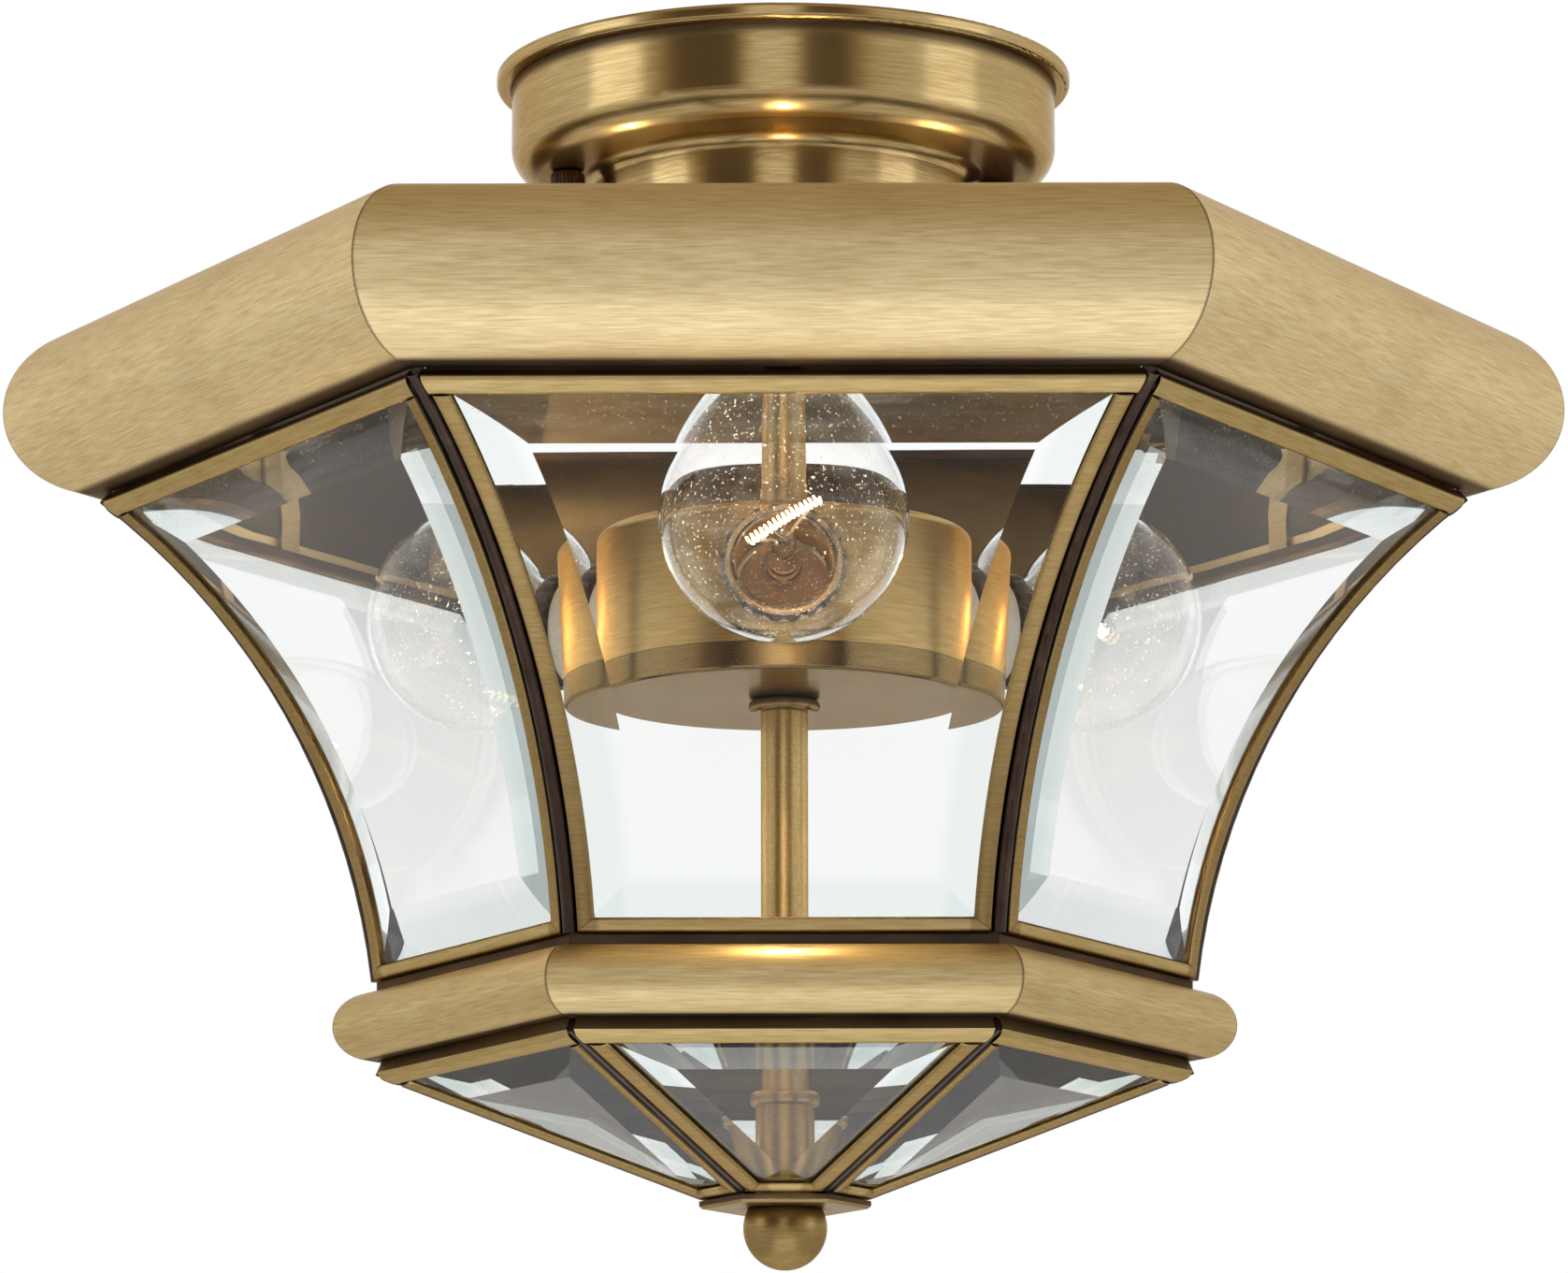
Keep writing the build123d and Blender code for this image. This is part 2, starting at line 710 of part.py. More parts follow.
# Lower frames, flat came with an upright edge along the top
with BuildPart() as lower_frame:
    with BuildSketch(Plane.YZ):
        with BuildLine():
            Polyline(
                on_side(ridge_apothem, ridge_z),
                on_side(ridge_apothem, pyramid_top_z),
                on_side(*slope_point(-ridge_lean, came_depth)),
                on_side(*slope_point(slope_length, came_depth)),
                on_side(*slope_point(slope_length, 0)),
                close=True,
            )
        make_face()
    extrude(amount=waist_width / 2, both=True)
    trim_sides(lower_rib_gap / 2)
    light = flat_plate(
        -came_depth,
        2 * came_depth,
        pyramid_top_strip,
        slope_length - pyramid_low_strip,
        lower_rib_gap / 2 + pyramid_side_strip,
    )
    add(light, mode=Mode.SUBTRACT)
    slot = flat_plate(
        came_flange,
        came_depth - came_flange,
        pyramid_top_strip - slot_depth,
        slope_length - pyramid_low_strip + slot_depth,
        lower_rib_gap / 2 + pyramid_side_strip - slot_depth,
    )
    add(slot, mode=Mode.SUBTRACT)
save_round(lower_frame.part, "lower_frame_{}", side_names, side_step)

# Lower panes, flat glass whose outer edges are cut off by four bevel planes
pane_back = came_depth - came_flange - glass_gap
pane_front = pane_back - glass_thickness
pane_start = pyramid_top_strip - pane_inset
pane_end = slope_length - pyramid_low_strip + pane_inset
pane_side = lower_rib_gap / 2 + pyramid_side_strip - pane_inset
bevel_depth = pane_back - glass_edge


def pane_point(along, depth, gap, sign):
    """A point on one of the front side's mitre planes, moved in by the gap."""
    apothem, z = slope_point(along, depth)
    return Vector(sign * (apothem * tan(half_step) - gap / cos(half_step)), -apothem, z)


pane_middle = pane_point((pane_start + pane_end) / 2, pane_back, 0, 0)
bevel_corners = []
for sign in (-1, 1):
    edge_start = pane_point(pane_start, bevel_depth, pane_side, sign)
    edge_end = pane_point(pane_end, bevel_depth, pane_side, sign)
    bevel_top = pane_point(pane_start, pane_front, pane_side + pyramid_bevel, sign)
    bevel_corners.append((edge_start, edge_end, bevel_top))
for along, inset in ((pane_start, pyramid_bevel), (pane_end, -pyramid_bevel)):
    left = pane_point(along, bevel_depth, pane_side, -1)
    right = pane_point(along, bevel_depth, pane_side, 1)
    bevel_corners.append((left, right, pane_point(along + inset, pane_front, 0, 0)))
with BuildPart() as lower_pane:
    add(flat_plate(pane_front, pane_back, pane_start, pane_end, pane_side))
    for first, second, third in bevel_corners:
        normal = (second - first).cross(third - first)
        if normal.dot(pane_middle - first) < 0:
            normal = -normal
        split(bisect_by=Plane(first, z_dir=normal), keep=Keep.TOP)
save_round(lower_pane.part, "lower_pane_{}", side_names, side_step)

# Corner ribs, the rounded beads in the seams between neighbouring frames
corner_out = Vector(sin(half_step), -cos(half_step), 0)
corner_plane = Plane((0, 0, 0), x_dir=corner_out, z_dir=corner_out.cross(Vector(0, 0, 1)))


def bend_corner(radius, angle):
    """A point of the bend where it meets the corner, drawn on the corner plane."""
    apothem = bend_apothem - radius * cos(radians(angle))
    return (apothem / cos(half_step), bend_z + radius * sin(radians(angle)))


def slope_corner(along, depth):
    """A point of the pyramid's slope where it meets the corner, drawn on the corner plane."""
    apothem, z = slope_point(along, depth)
    return (apothem / cos(half_step), z)


rib_top_angle = high_angle - degrees(slide_gap / bend_radius)
rib_angles = (low_angle, (low_angle + rib_top_angle) / 2, rib_top_angle)
rib_near = bend_radius + rib_recess
rib_far = frame_far - came_flange
with BuildPart() as upper_rib:
    with BuildSketch(corner_plane):
        with BuildLine():
            outer = ThreePointArc([bend_corner(rib_near, angle) for angle in rib_angles])
            inner = ThreePointArc([bend_corner(rib_far, angle) for angle in rib_angles])
            Line(outer @ 0, inner @ 0)
            Line(outer @ 1, inner @ 1)
        make_face()
    extrude(amount=rib_width / 2, both=True)
    face = upper_rib.faces().filter_by(GeomType.CYLINDER).sort_by(lambda one: one.radius)[0]
    fillet(face.edges().filter_by(GeomType.CIRCLE), rib_round * rib_width)
with BuildPart() as lower_rib:
    with BuildSketch(corner_plane):
        with BuildLine():
            Polyline(
                slope_corner(0, lower_rib_recess),
                slope_corner(slope_length, lower_rib_recess),
                slope_corner(slope_length, came_depth - came_flange),
                slope_corner(0, came_depth - came_flange),
                close=True,
            )
        make_face()
    extrude(amount=lower_rib_width / 2, both=True)
    long_edges = lower_rib.edges().filter_by(lambda edge: edge.length > slope_length)
    fillet(long_edges.sort_by(Axis.Z)[:2], rib_round * lower_rib_width)
with BuildPart() as corner_ribs:
    for index in range(len(side_names)):
        add(upper_rib.part.rotate(Axis.Z, index * side_step))
        add(lower_rib.part.rotate(Axis.Z, index * side_step))
corner_ribs.part.label = "corner_ribs"
export_step(corner_ribs.part, "parts/corner_ribs.step")

# Bottom cap, a hexagonal plate that carries the lantern on the finial
with BuildPart() as bottom_cap:
    with BuildSketch(Plane.XY.offset(cap_bottom_z)):
        RegularPolygon(cap_width / 2, len(side_names))
        Circle(stub_radius + slide_gap, mode=Mode.SUBTRACT)
    extrude(amount=cap_plate)
    outline = bottom_cap.edges().filter_by(GeomType.LINE).group_by(Axis.Z)
    chamfer(outline[0], cap_edge)
bottom_cap.part.label = "bottom_cap"
export_step(bottom_cap.part, "parts/bottom_cap.step")

# Guide sleeve, standing on the bottom cap round the rod
with BuildPart() as guide_sleeve:
    with BuildSketch(Plane.XY.offset(cap_top_z)):
        Circle(sleeve_radius)
        Circle(rod_radius + slide_gap, mode=Mode.SUBTRACT)
    extrude(amount=sleeve_top_z - cap_top_z)
    with BuildSketch(Plane.XY.offset(sleeve_top_z)):
        Circle(sleeve_collar_radius)
        Circle(rod_radius + slide_gap, mode=Mode.SUBTRACT)
    extrude(amount=-sleeve_collar_height)
    fillet(rims(guide_sleeve, sleeve_collar_radius), sleeve_collar_round)
guide_sleeve.part.label = "guide_sleeve"
export_step(guide_sleeve.part, "parts/guide_sleeve.step")

# Finial, a ball with a flat top and a blind threaded hole for the rod's stub
finial_top_z = cap_bottom_z - seam
with BuildPart() as finial:
    with Locations((0, 0, finial_top_z - finial_cut)):
        Sphere(finial_radius)
    split(bisect_by=Plane.XY.offset(finial_top_z), keep=Keep.BOTTOM)
    with BuildSketch(Plane.XY.offset(finial_top_z)):
        Circle(stub_radius + thread_gap)
    extrude(amount=stub_end_z - slide_gap - finial_top_z, mode=Mode.SUBTRACT)
finial.part.label = "finial"
export_step(finial.part, "parts/finial.step")
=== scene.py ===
from math import asin, atan2, cos, hypot, pi, radians, sin, sqrt, tan

import bmesh
import bpy
from mathutils import Matrix, Vector


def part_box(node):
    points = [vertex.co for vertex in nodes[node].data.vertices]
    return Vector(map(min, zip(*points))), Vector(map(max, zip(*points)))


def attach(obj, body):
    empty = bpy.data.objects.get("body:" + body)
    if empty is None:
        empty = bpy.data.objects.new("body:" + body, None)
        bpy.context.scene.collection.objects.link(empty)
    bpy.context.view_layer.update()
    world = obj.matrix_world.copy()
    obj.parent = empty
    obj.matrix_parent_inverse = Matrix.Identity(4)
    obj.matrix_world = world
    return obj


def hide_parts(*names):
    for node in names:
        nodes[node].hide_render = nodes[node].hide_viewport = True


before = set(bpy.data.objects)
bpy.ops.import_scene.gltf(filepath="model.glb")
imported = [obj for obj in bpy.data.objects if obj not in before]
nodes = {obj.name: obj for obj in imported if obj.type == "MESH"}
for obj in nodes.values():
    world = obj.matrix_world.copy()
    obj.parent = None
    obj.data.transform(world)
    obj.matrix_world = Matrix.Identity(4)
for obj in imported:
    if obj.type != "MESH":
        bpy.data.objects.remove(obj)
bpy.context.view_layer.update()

scene = bpy.context.scene
scene.view_settings.view_transform = "Standard"

side_names = ["front", "front_right", "back_right", "back", "back_left", "front_left"]
lamp_names = ["front", "back_right", "back_left"]
side_step = radians(60)
lamp_step = radians(120)
half_step = radians(30)

# Crown and waist, in metres. An apothem is the level distance from the Z axis to the middle of a side
crown_low, crown_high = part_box("crown_front")
crown_apothem = -crown_low[1]
crown_radius = (crown_high[2] - crown_low[2]) / 2
crown_axis_z = (crown_high[2] + crown_low[2]) / 2
crown_back = crown_apothem - crown_radius
waist_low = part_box("waist_moulding")[0]
waist_radius = 0.0083
waist_apothem = -waist_low[1]
waist_axis_z = waist_low[2] + waist_radius
waist_back = waist_apothem - waist_radius
sheet = 0.0012

# Bent frames and panes
recess = 0.0026
top_proud = 0.0006
bottom_proud = 0.001
bend_radius = 0.185
came_depth = 0.0052
came_flange = 0.0008
top_strip = 0.0053
bottom_strip = 0.0036
side_strip = 0.0042
rib_gap = 0.004
glass_thickness = 0.005
glass_gap = 0.0001
panel_top = (crown_back + top_proud, crown_low[2] - recess)
panel_bottom = (waist_back + bottom_proud, waist_axis_z + waist_radius + recess)
chord_out = panel_top[0] - panel_bottom[0]
chord_up = panel_top[1] - panel_bottom[1]
chord = hypot(chord_out, chord_up)
bend_offset = sqrt(bend_radius**2 - (chord / 2) ** 2)
bend_apothem = (panel_top[0] + panel_bottom[0]) / 2 + bend_offset * chord_up / chord
bend_z = (panel_top[1] + panel_bottom[1]) / 2 - bend_offset * chord_out / chord
low_angle = atan2(panel_bottom[1] - bend_z, bend_apothem - panel_bottom[0])
high_angle = atan2(panel_top[1] - bend_z, bend_apothem - panel_top[0])
pane_far = bend_radius + came_depth - came_flange - glass_gap

# Pyramid
ridge_inset = 0.0007
ridge_drop = 0.0016
ridge_lip = 0.0017
ridge_apothem = waist_back - ridge_inset
ridge_z = waist_low[2] - recess - ridge_drop
cap_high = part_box("bottom_cap")[1]
slope_in = ridge_apothem - cap_high[1]
slope_down = ridge_z - cap_high[2] - glass_gap
slope_length = hypot(slope_in, slope_down)
pyramid_top_strip = 0.0052
pyramid_low_strip = 0.0034
pyramid_side_strip = 0.004
lower_rib_gap = 0.002
pane_back = came_depth - came_flange - glass_gap

# Lamps, measured along each lamp's axis from where it crosses the Z axis
lamp_axis_z = -0.1389
lamp_lean = radians(7)
globe_reach = 0.08564
globe_radius = 0.0295
bulb_length = 0.088
base_length = 0.026
base_radius = 0.01305
tip_length = 0.0055
mouth_proud = 0.0009
base_end = globe_reach + globe_radius - bulb_length + base_length
base_start = base_end - base_length
shell_start = base_start + tip_length
socket_mouth = base_end + mouth_proud
socket_radius = 0.01418
ring_length = 0.0055
ring_radius = 0.0154
filament_reach = 0.032
filament_at = base_end + filament_reach
filament_span = 0.02
filament_turn = radians(33)


# Numbers of the Mix node's sockets for colours
mix_factor = 0
mix_first = 6
mix_second = 7
mix_result = 2

# Shader helpers
rougher = 0.06
smoother = 0.05


def new_material(name):
    """A node material with a Principled shader, and the shader's node tree."""
    material = bpy.data.materials.new(name)
    material.use_nodes = True
    tree = material.node_tree
    return material, tree, tree.nodes["Principled BSDF"]


def connect(tree, socket, value):
    """Link a socket, or set it to a constant."""
    if isinstance(value, bpy.types.NodeSocket):
        tree.links.new(value, socket)
    else:
        socket.default_value = value


def add_node(tree, kind, inputs=None, **settings):
    """A new node with its properties set, and its inputs set or linked by name or number."""
    node = tree.nodes.new(kind)
    for key, value in settings.items():
        setattr(node, key, value)
    for key, value in (inputs or {}).items():
        connect(tree, node.inputs[key], value)
    return node


def grey(level):
    return (level, level, level, 1)


def calc(tree, operation, *values):
    """One step of arithmetic on sockets and numbers."""
    node = add_node(tree, "ShaderNodeMath", dict(enumerate(values)), operation=operation)
    return node.outputs["Value"]


def rise(tree, value, low, high):
    """0 at low, 1 at high and smooth between."""
    inputs = {"Value": value, "From Min": low, "From Max": high}
    node = add_node(tree, "ShaderNodeMapRange", inputs, interpolation_type="SMOOTHSTEP")
    return node.outputs["Result"]


def ramp(tree, source, stops):
    """A colour ramp of (place, colour) stops on a source socket."""
    node = add_node(tree, "ShaderNodeValToRGB", {"Fac": source})
    elements = node.color_ramp.elements
    while len(elements) < len(stops):
        elements.new(0.5)
    for element, (place, colour) in zip(elements, stops):
        element.position = place
        element.color = (*colour, 1) if len(colour) == 3 else colour
    return node.outputs["Color"]


def mix(tree, factor, first, second, blend="MIX"):
    """A mix of two colours, each a socket or a constant."""
    node = add_node(tree, "ShaderNodeMix", {mix_factor: factor}, data_type="RGBA", blend_type=blend)
    for key, value in ((mix_first, first), (mix_second, second)):
        connect(tree, node.inputs[key], value if isinstance(value, bpy.types.NodeSocket) else (*value[:3], 1))
    return node.outputs[mix_result]


def split(tree, vector):
    return add_node(tree, "ShaderNodeSeparateXYZ", {"Vector": vector}).outputs


def stretched(tree, vector, scale):
    return add_node(tree, "ShaderNodeMapping", {"Vector": vector, "Scale": scale}).outputs["Vector"]


def noise(tree, vector, scale, detail=3.0, rough=0.55):
    """Noise on a vector that is stretched first."""
    inputs = {"Vector": stretched(tree, vector, scale), "Scale": 1.0, "Detail": detail, "Roughness": rough}
    return add_node(tree, "ShaderNodeTexNoise", inputs).outputs["Fac"]


def all_ways(scale):
    return (scale, scale, scale)


def object_place(tree):
    """The place of a point in the part's own frame."""
    return tree.nodes.new("ShaderNodeTexCoord").outputs["Object"]


def add_bump(tree, shader, height, strength, distance):
    """A relief on a shader, from a socket of heights."""
    inputs = {"Strength": strength, "Distance": distance, "Height": height}
    bump = add_node(tree, "ShaderNodeBump", inputs)
    tree.links.new(bump.outputs["Normal"], shader.inputs["Normal"])


def uneven(tree, source, low, high, roughness):
    """A roughness that falls from a little above a value to a little below it as a source rises."""
    return ramp(tree, source, [(low, grey(roughness + rougher)), (high, grey(roughness - smoother))])


def seen_through(tree, light_path):
    """1 on a ray that has passed through glass and met no mirror."""
    unmirrored = calc(tree, "LESS_THAN", light_path["Glossy Depth"], 0.5)
    return calc(tree, "MULTIPLY", unmirrored, light_path["Is Transmission Ray"])


def length(tree, first, second):
    """The length of a flat vector of two parts."""
    squares = calc(tree, "ADD", calc(tree, "POWER", first, 2.0), calc(tree, "POWER", second, 2.0))
    return calc(tree, "SQRT", squares)


def sided(tree):
    """Place, normal and tangent, turned so that each side of the hexagon lies as the front one does."""
    coords = tree.nodes.new("ShaderNodeTexCoord").outputs
    here = split(tree, coords["Object"])
    azimuth = calc(tree, "ADD", calc(tree, "ARCTAN2", here["Y"], here["X"]), pi / 2)
    turn = calc(tree, "MULTIPLY", calc(tree, "ROUND", calc(tree, "DIVIDE", azimuth, side_step)), side_step)
    back = calc(tree, "MULTIPLY", turn, -1.0)

    def turned(vector, angle):
        inputs = {"Vector": vector, "Angle": angle}
        return add_node(tree, "ShaderNodeVectorRotate", inputs, rotation_type="Z_AXIS").outputs["Vector"]

    return turned(coords["Object"], back), turned(coords["Normal"], back), turned((1.0, 0.0, 0.0), turn)


def turned_round(tree):
    """Place, normal and tangent round the Z axis: the place is the angle, the height and the radius."""
    coords = tree.nodes.new("ShaderNodeTexCoord").outputs
    here = split(tree, coords["Object"])
    angle = calc(tree, "ARCTAN2", here["Y"], here["X"])
    radius = length(tree, here["X"], here["Y"])
    place = add_node(tree, "ShaderNodeCombineXYZ", {"X": angle, "Y": here["Z"], "Z": radius})
    tangent = add_node(tree, "ShaderNodeTangent", direction_type="RADIAL", axis="Z")
    return place.outputs["Vector"], coords["Normal"], tangent.outputs["Tangent"]


# Brass. Noise scales are in cells per metre, and a range is where a rise starts and where it ends
brass_tones = [(0.35, (0.53, 0.4, 0.2)), (0.5, (0.62, 0.485, 0.262)), (0.65, (0.69, 0.565, 0.335))]
brass_stain = (0.36, 0.25, 0.11)
# Patina colours, into which the dark joints and all painted shade are blended
patina_and_shade_tones = [(0.4, (0.05, 0.033, 0.024)), (0.75, (0.11, 0.074, 0.042))]
patina_and_shade_rough = 0.45
edge_tint = (0.7, 0.6, 0.5, 1)
streak_scale = 2400
band_scale = 1000
cloud_scale = 45
band_share = 0.35
stain_share = 0.3
stain_range = (0.5, 0.8)
brush_depth = 0.0004
quarter_turn = 0.25
seam_reach = 0.005
seam_samples = 6
seam_cloud = 0.1
seam_range = (0.66, 0.34)


def brass(name, frame_of, along, tone_of, dark_where=None, *, roughness, shine, seams=True, relief=0.06):
    """Brushed brass: streaks along the first coordinate of frame_of, dark in its joints, with painted shade
    in seams, and dark where told.
    """
    material, tree, shader = new_material(name)
    place, normal, tangent = frame_of(tree)
    streaks = noise(tree, place, (along, streak_scale, streak_scale), detail=2.0)
    bands = noise(tree, place, (along, band_scale, band_scale))
    clouds = noise(tree, place, (along / 4, cloud_scale, cloud_scale), detail=4.0)
    grain = mix(tree, band_share, streaks, bands)
    colour = ramp(tree, grain, brass_tones)
    stained = calc(tree, "MULTIPLY", rise(tree, clouds, *stain_range), stain_share)
    colour = mix(tree, stained, colour, brass_stain)
    tone = tone_of(tree, place) if callable(tone_of) else tone_of
    colour = mix(tree, 1.0, colour, tone, blend="MULTIPLY")
    deep = add_node(tree, "ShaderNodeAttribute", attribute_name="joint").outputs["Fac"]
    # Painted shade: ambient occlusion darkens the brass in seams and recesses
    if seams:
        inputs = {"Distance": seam_reach}
        occlusion = add_node(tree, "ShaderNodeAmbientOcclusion", inputs, samples=seam_samples)
        open_sky = calc(tree, "MULTIPLY_ADD", clouds, seam_cloud, occlusion.outputs["AO"])
        deep = calc(tree, "MAXIMUM", deep, rise(tree, open_sky, *seam_range))
    if dark_where:
        deep = calc(tree, "MAXIMUM", deep, dark_where(tree, place, normal))
    shade_and_patina = ramp(tree, clouds, patina_and_shade_tones)
    tree.links.new(mix(tree, deep, colour, shade_and_patina), shader.inputs["Base Color"])
    rough = uneven(tree, grain, 0.25, 0.75, roughness)
    tree.links.new(mix(tree, deep, rough, grey(patina_and_shade_rough)), shader.inputs["Roughness"])
    add_bump(tree, shader, streaks, strength=relief, distance=brush_depth)
    tree.links.new(tangent, shader.inputs["Tangent"])
    shader.inputs["Metallic"].default_value = 1.0
    shader.inputs["Specular Tint"].default_value = edge_tint
    shader.inputs["Anisotropic"].default_value = shine
    shader.inputs["Anisotropic Rotation"].default_value = quarter_turn
    return material


def from_mitre(tree, here):
    """The level distance from a point of a side to the mitre at its nearer end."""
    reach = calc(tree, "MULTIPLY", here["Y"], -tan(half_step))
    return calc(tree, "SUBTRACT", reach, calc(tree, "ABSOLUTE", here["X"]))


# Dark places, partly painted shade. Shares are of a moulding's sheet or of its radius, and a facing is a part
# of a normal
inside_dark = 0.85
inside_shares = (0.4, 0.6)
inside_start = 0.0004
mitre_dark = 0.6
mitre_reach = 0.0007
shaded_edge_shares = (0.95, 0.985)
past_back_steps = (0.0003, -0.0001)
behind_rise = 0.0002
facing_in = (-0.2, -0.02)
facing_up = (0.2, 0.45)
facing_off_down = (-0.8, -0.4)


def moulding_dark(back, axis_z, radius, behind_from):
    """Where a half-round moulding is dark: inside its sheet and in its mitres, and with painted shade along
    its lower edge and, above a height from its axis, behind its back."""
    def mask(tree, place, normal):
        here = split(tree, place)
        out = calc(tree, "MULTIPLY", here["Y"], -1.0)
        up = calc(tree, "SUBTRACT", here["Z"], axis_z)
        reach = length(tree, calc(tree, "SUBTRACT", out, back), up)
        inside = rise(tree, reach, *[radius - sheet * share for share in inside_shares])
        inside = calc(tree, "MULTIPLY", inside, rise(tree, out, back, back + inside_start))
        inside = calc(tree, "MULTIPLY", inside, inside_dark)
        mitre = calc(tree, "MULTIPLY", rise(tree, from_mitre(tree, here), mitre_reach, 0.0), mitre_dark)
        # Painted shade along the lower edge, and behind the back above behind_from
        edge = rise(tree, up, *[-radius * share for share in shaded_edge_shares])
        dark = calc(tree, "MAXIMUM", calc(tree, "MAXIMUM", inside, mitre), edge)
        past_back = rise(tree, out, *[back + step for step in past_back_steps])
        behind = calc(tree, "MULTIPLY", past_back, rise(tree, up, behind_from, behind_from + behind_rise))
        return calc(tree, "MAXIMUM", dark, behind)
    return mask


def came_painted_shade(tree, place, normal):
    """Painted shade on a came: on every face that looks up or in."""
    facing = split(tree, normal)
    inward = rise(tree, facing["Y"], *facing_in)
    return calc(tree, "MAXIMUM", inward, rise(tree, facing["Z"], *facing_up))


strip_tone = (0.63, 0.58, 0.45)
side_strip_tone = (0.42, 0.36, 0.26)
side_strip_reach = (0.0085, 0.0072)
head_blur = 0.0001


def came_tone(head_z):
    """Came strips are darker at the sides than along the bottom, and than along the top, above head_z."""
    def tone(tree, place):
        here = split(tree, place)
        beside = rise(tree, from_mitre(tree, here), *side_strip_reach)
        below_head = rise(tree, here["Z"], head_z + head_blur, head_z - head_blur)
        beside = calc(tree, "MULTIPLY", beside, below_head)
        return mix(tree, beside, strip_tone, side_strip_tone)
    return tone


def cap_painted_shade(tree, place, normal):
    """Painted shade on the bottom cap, on every face but those underneath."""
    return rise(tree, split(tree, normal)["Z"], *facing_off_down)


# Painted shade under the canopy's lip
under_lip_shade = 0.85
under_lip = (-0.0075, -0.0045)
canopy_wall = (0.0684, 0.068)


def canopy_painted_shade(tree, place, normal):
    """Painted shade on the canopy just under its lip. Here Y is the height and Z the radius."""
    here = split(tree, place)
    under = rise(tree, here["Y"], *under_lip)
    wall = rise(tree, here["Z"], *canopy_wall)
    return calc(tree, "MULTIPLY", calc(tree, "MULTIPLY", under, wall), under_lip_shade)


aged_tones = [(0.35, (0.04, 0.026, 0.02)), (0.6, (0.062, 0.04, 0.029)), (0.85, (0.16, 0.105, 0.06))]
aged_roughness = [(0.3, grey(0.48)), (0.8, grey(0.36))]
wear_scale = 70
aged_scale = 900


def aged_brass(name):
    """Brass under a dark brown patina, rubbed through in places."""
    material, tree, shader = new_material(name)
    place = object_place(tree)
    wear = noise(tree, place, all_ways(wear_scale), detail=6.0, rough=0.7)
    tree.links.new(ramp(tree, wear, aged_tones), shader.inputs["Base Color"])
    tree.links.new(ramp(tree, wear, aged_roughness), shader.inputs["Roughness"])
    grain = noise(tree, place, all_ways(aged_scale), detail=4.0)
    add_bump(tree, shader, grain, strength=0.15, distance=0.0004)
    shader.inputs["Metallic"].default_value = 1.0
    return material


mottle_low = 0.3
mottle_high = 0.7


def plain(name, low, high, *, roughness, grain, metallic):
    """A plated metal, paint, resin or insulator with a fine mottle."""
    material, tree, shader = new_material(name)
    mottle = noise(tree, object_place(tree), all_ways(grain), detail=5.0)
    colour = ramp(tree, mottle, [(mottle_low, low), (mottle_high, high)])
    tree.links.new(colour, shader.inputs["Base Color"])
    tree.links.new(uneven(tree, mottle, mottle_low, mottle_high, roughness), shader.inputs["Roughness"])
    add_bump(tree, shader, mottle, strength=0.1, distance=0.0003)
    shader.inputs["Metallic"].default_value = metallic
    return material


porcelain_pale = [(mottle_low, (0.7, 0.67, 0.6)), (mottle_high, (0.8, 0.78, 0.72))]
porcelain_brown = [(mottle_low, (0.035, 0.024, 0.017)), (mottle_high, (0.06, 0.042, 0.03))]
porcelain_roughness = [(mottle_low, grey(0.46)), (mottle_high, grey(0.36))]
porcelain_scale = 900
browned_start = 0.004
browned_end = 0.002


def browned_porcelain(name, mouth):
    """Unglazed porcelain, brown next to its mouth, which is a distance from the Z axis."""
    material, tree, shader = new_material(name)
    place = object_place(tree)
    here = split(tree, place)
    mottle = noise(tree, place, all_ways(porcelain_scale), detail=5.0)
    pale = ramp(tree, mottle, porcelain_pale)
    brown = ramp(tree, mottle, porcelain_brown)
    reach = length(tree, here["X"], here["Y"])
    browned = rise(tree, reach, mouth - browned_start, mouth - browned_end)
    tree.links.new(mix(tree, browned, pale, brown), shader.inputs["Base Color"])
    tree.links.new(ramp(tree, mottle, porcelain_roughness), shader.inputs["Roughness"])
    return material


pane_clear = (0.965, 0.975, 0.97)
pane_bend = 1.5
grain_scale = 1100
grain_range = (0.64, 0.72)
speck_range = (0.675, 0.71)
smear_scale = (30, 260, 260)
smear_range = (0.45, 0.75)
smear_share = 0.3
swell_scale = 25
swell_height = 0.001
bevel_start = (0.0001, 0.0008)
bevel_end = (0.0004, 0.0002)


def clear_glass(name, *, wave, mirror, dust, cast=None, bevel_where=None, dust_from=None, specks=0.0,
                clear=pane_clear, bend=pane_bend):
    """Clear glass, a little wavy and dusty, with a cast on its bevels. No dust lies below the first
    height of dust_from and all of it above the second; specks is the roughness of small spots, and
    bend the index of refraction."""
    material, tree, shader = new_material(name)
    shader.inputs["IOR"].default_value = bend
    shader.inputs["Specular Tint"].default_value = grey(mirror)
    place = sided(tree)[0]
    colour = clear
    if bevel_where:
        colour = mix(tree, bevel_where(tree, place), colour, cast)
    grains = noise(tree, place, all_ways(grain_scale), detail=2.0)
    smears = rise(tree, noise(tree, place, smear_scale, detail=4.0), *smear_range)
    dirt = calc(tree, "MULTIPLY", rise(tree, grains, *grain_range), dust)
    if dust_from:
        settled = rise(tree, split(tree, place)["Z"], *dust_from)
        smears = calc(tree, "MULTIPLY", smears, settled)
        dirt = calc(tree, "MULTIPLY", dirt, settled)
    dirt = calc(tree, "MULTIPLY_ADD", smears, dust * smear_share, dirt)
    tree.links.new(calc(tree, "SUBTRACT", 1.0, dirt), shader.inputs["Transmission Weight"])
    connect(tree, shader.inputs["Base Color"], colour if bevel_where else (*colour, 1))
    shader.inputs["Roughness"].default_value = 0.0
    if specks:
        rough = calc(tree, "MULTIPLY", rise(tree, grains, *speck_range), specks)
        tree.links.new(rough, shader.inputs["Roughness"])
    swell = noise(tree, place, all_ways(swell_scale), detail=1.0)
    add_bump(tree, shader, swell, strength=wave, distance=swell_height)
    return material


def bevel_band(tree, depth, back):
    """1 at the depths between a pane's front and its back, where only the bevels and edges lie."""
    front = back - glass_thickness
    cut = rise(tree, depth, *[front + step for step in bevel_start])
    return calc(tree, "SUBTRACT", cut, rise(tree, depth, *[back - step for step in bevel_end]))


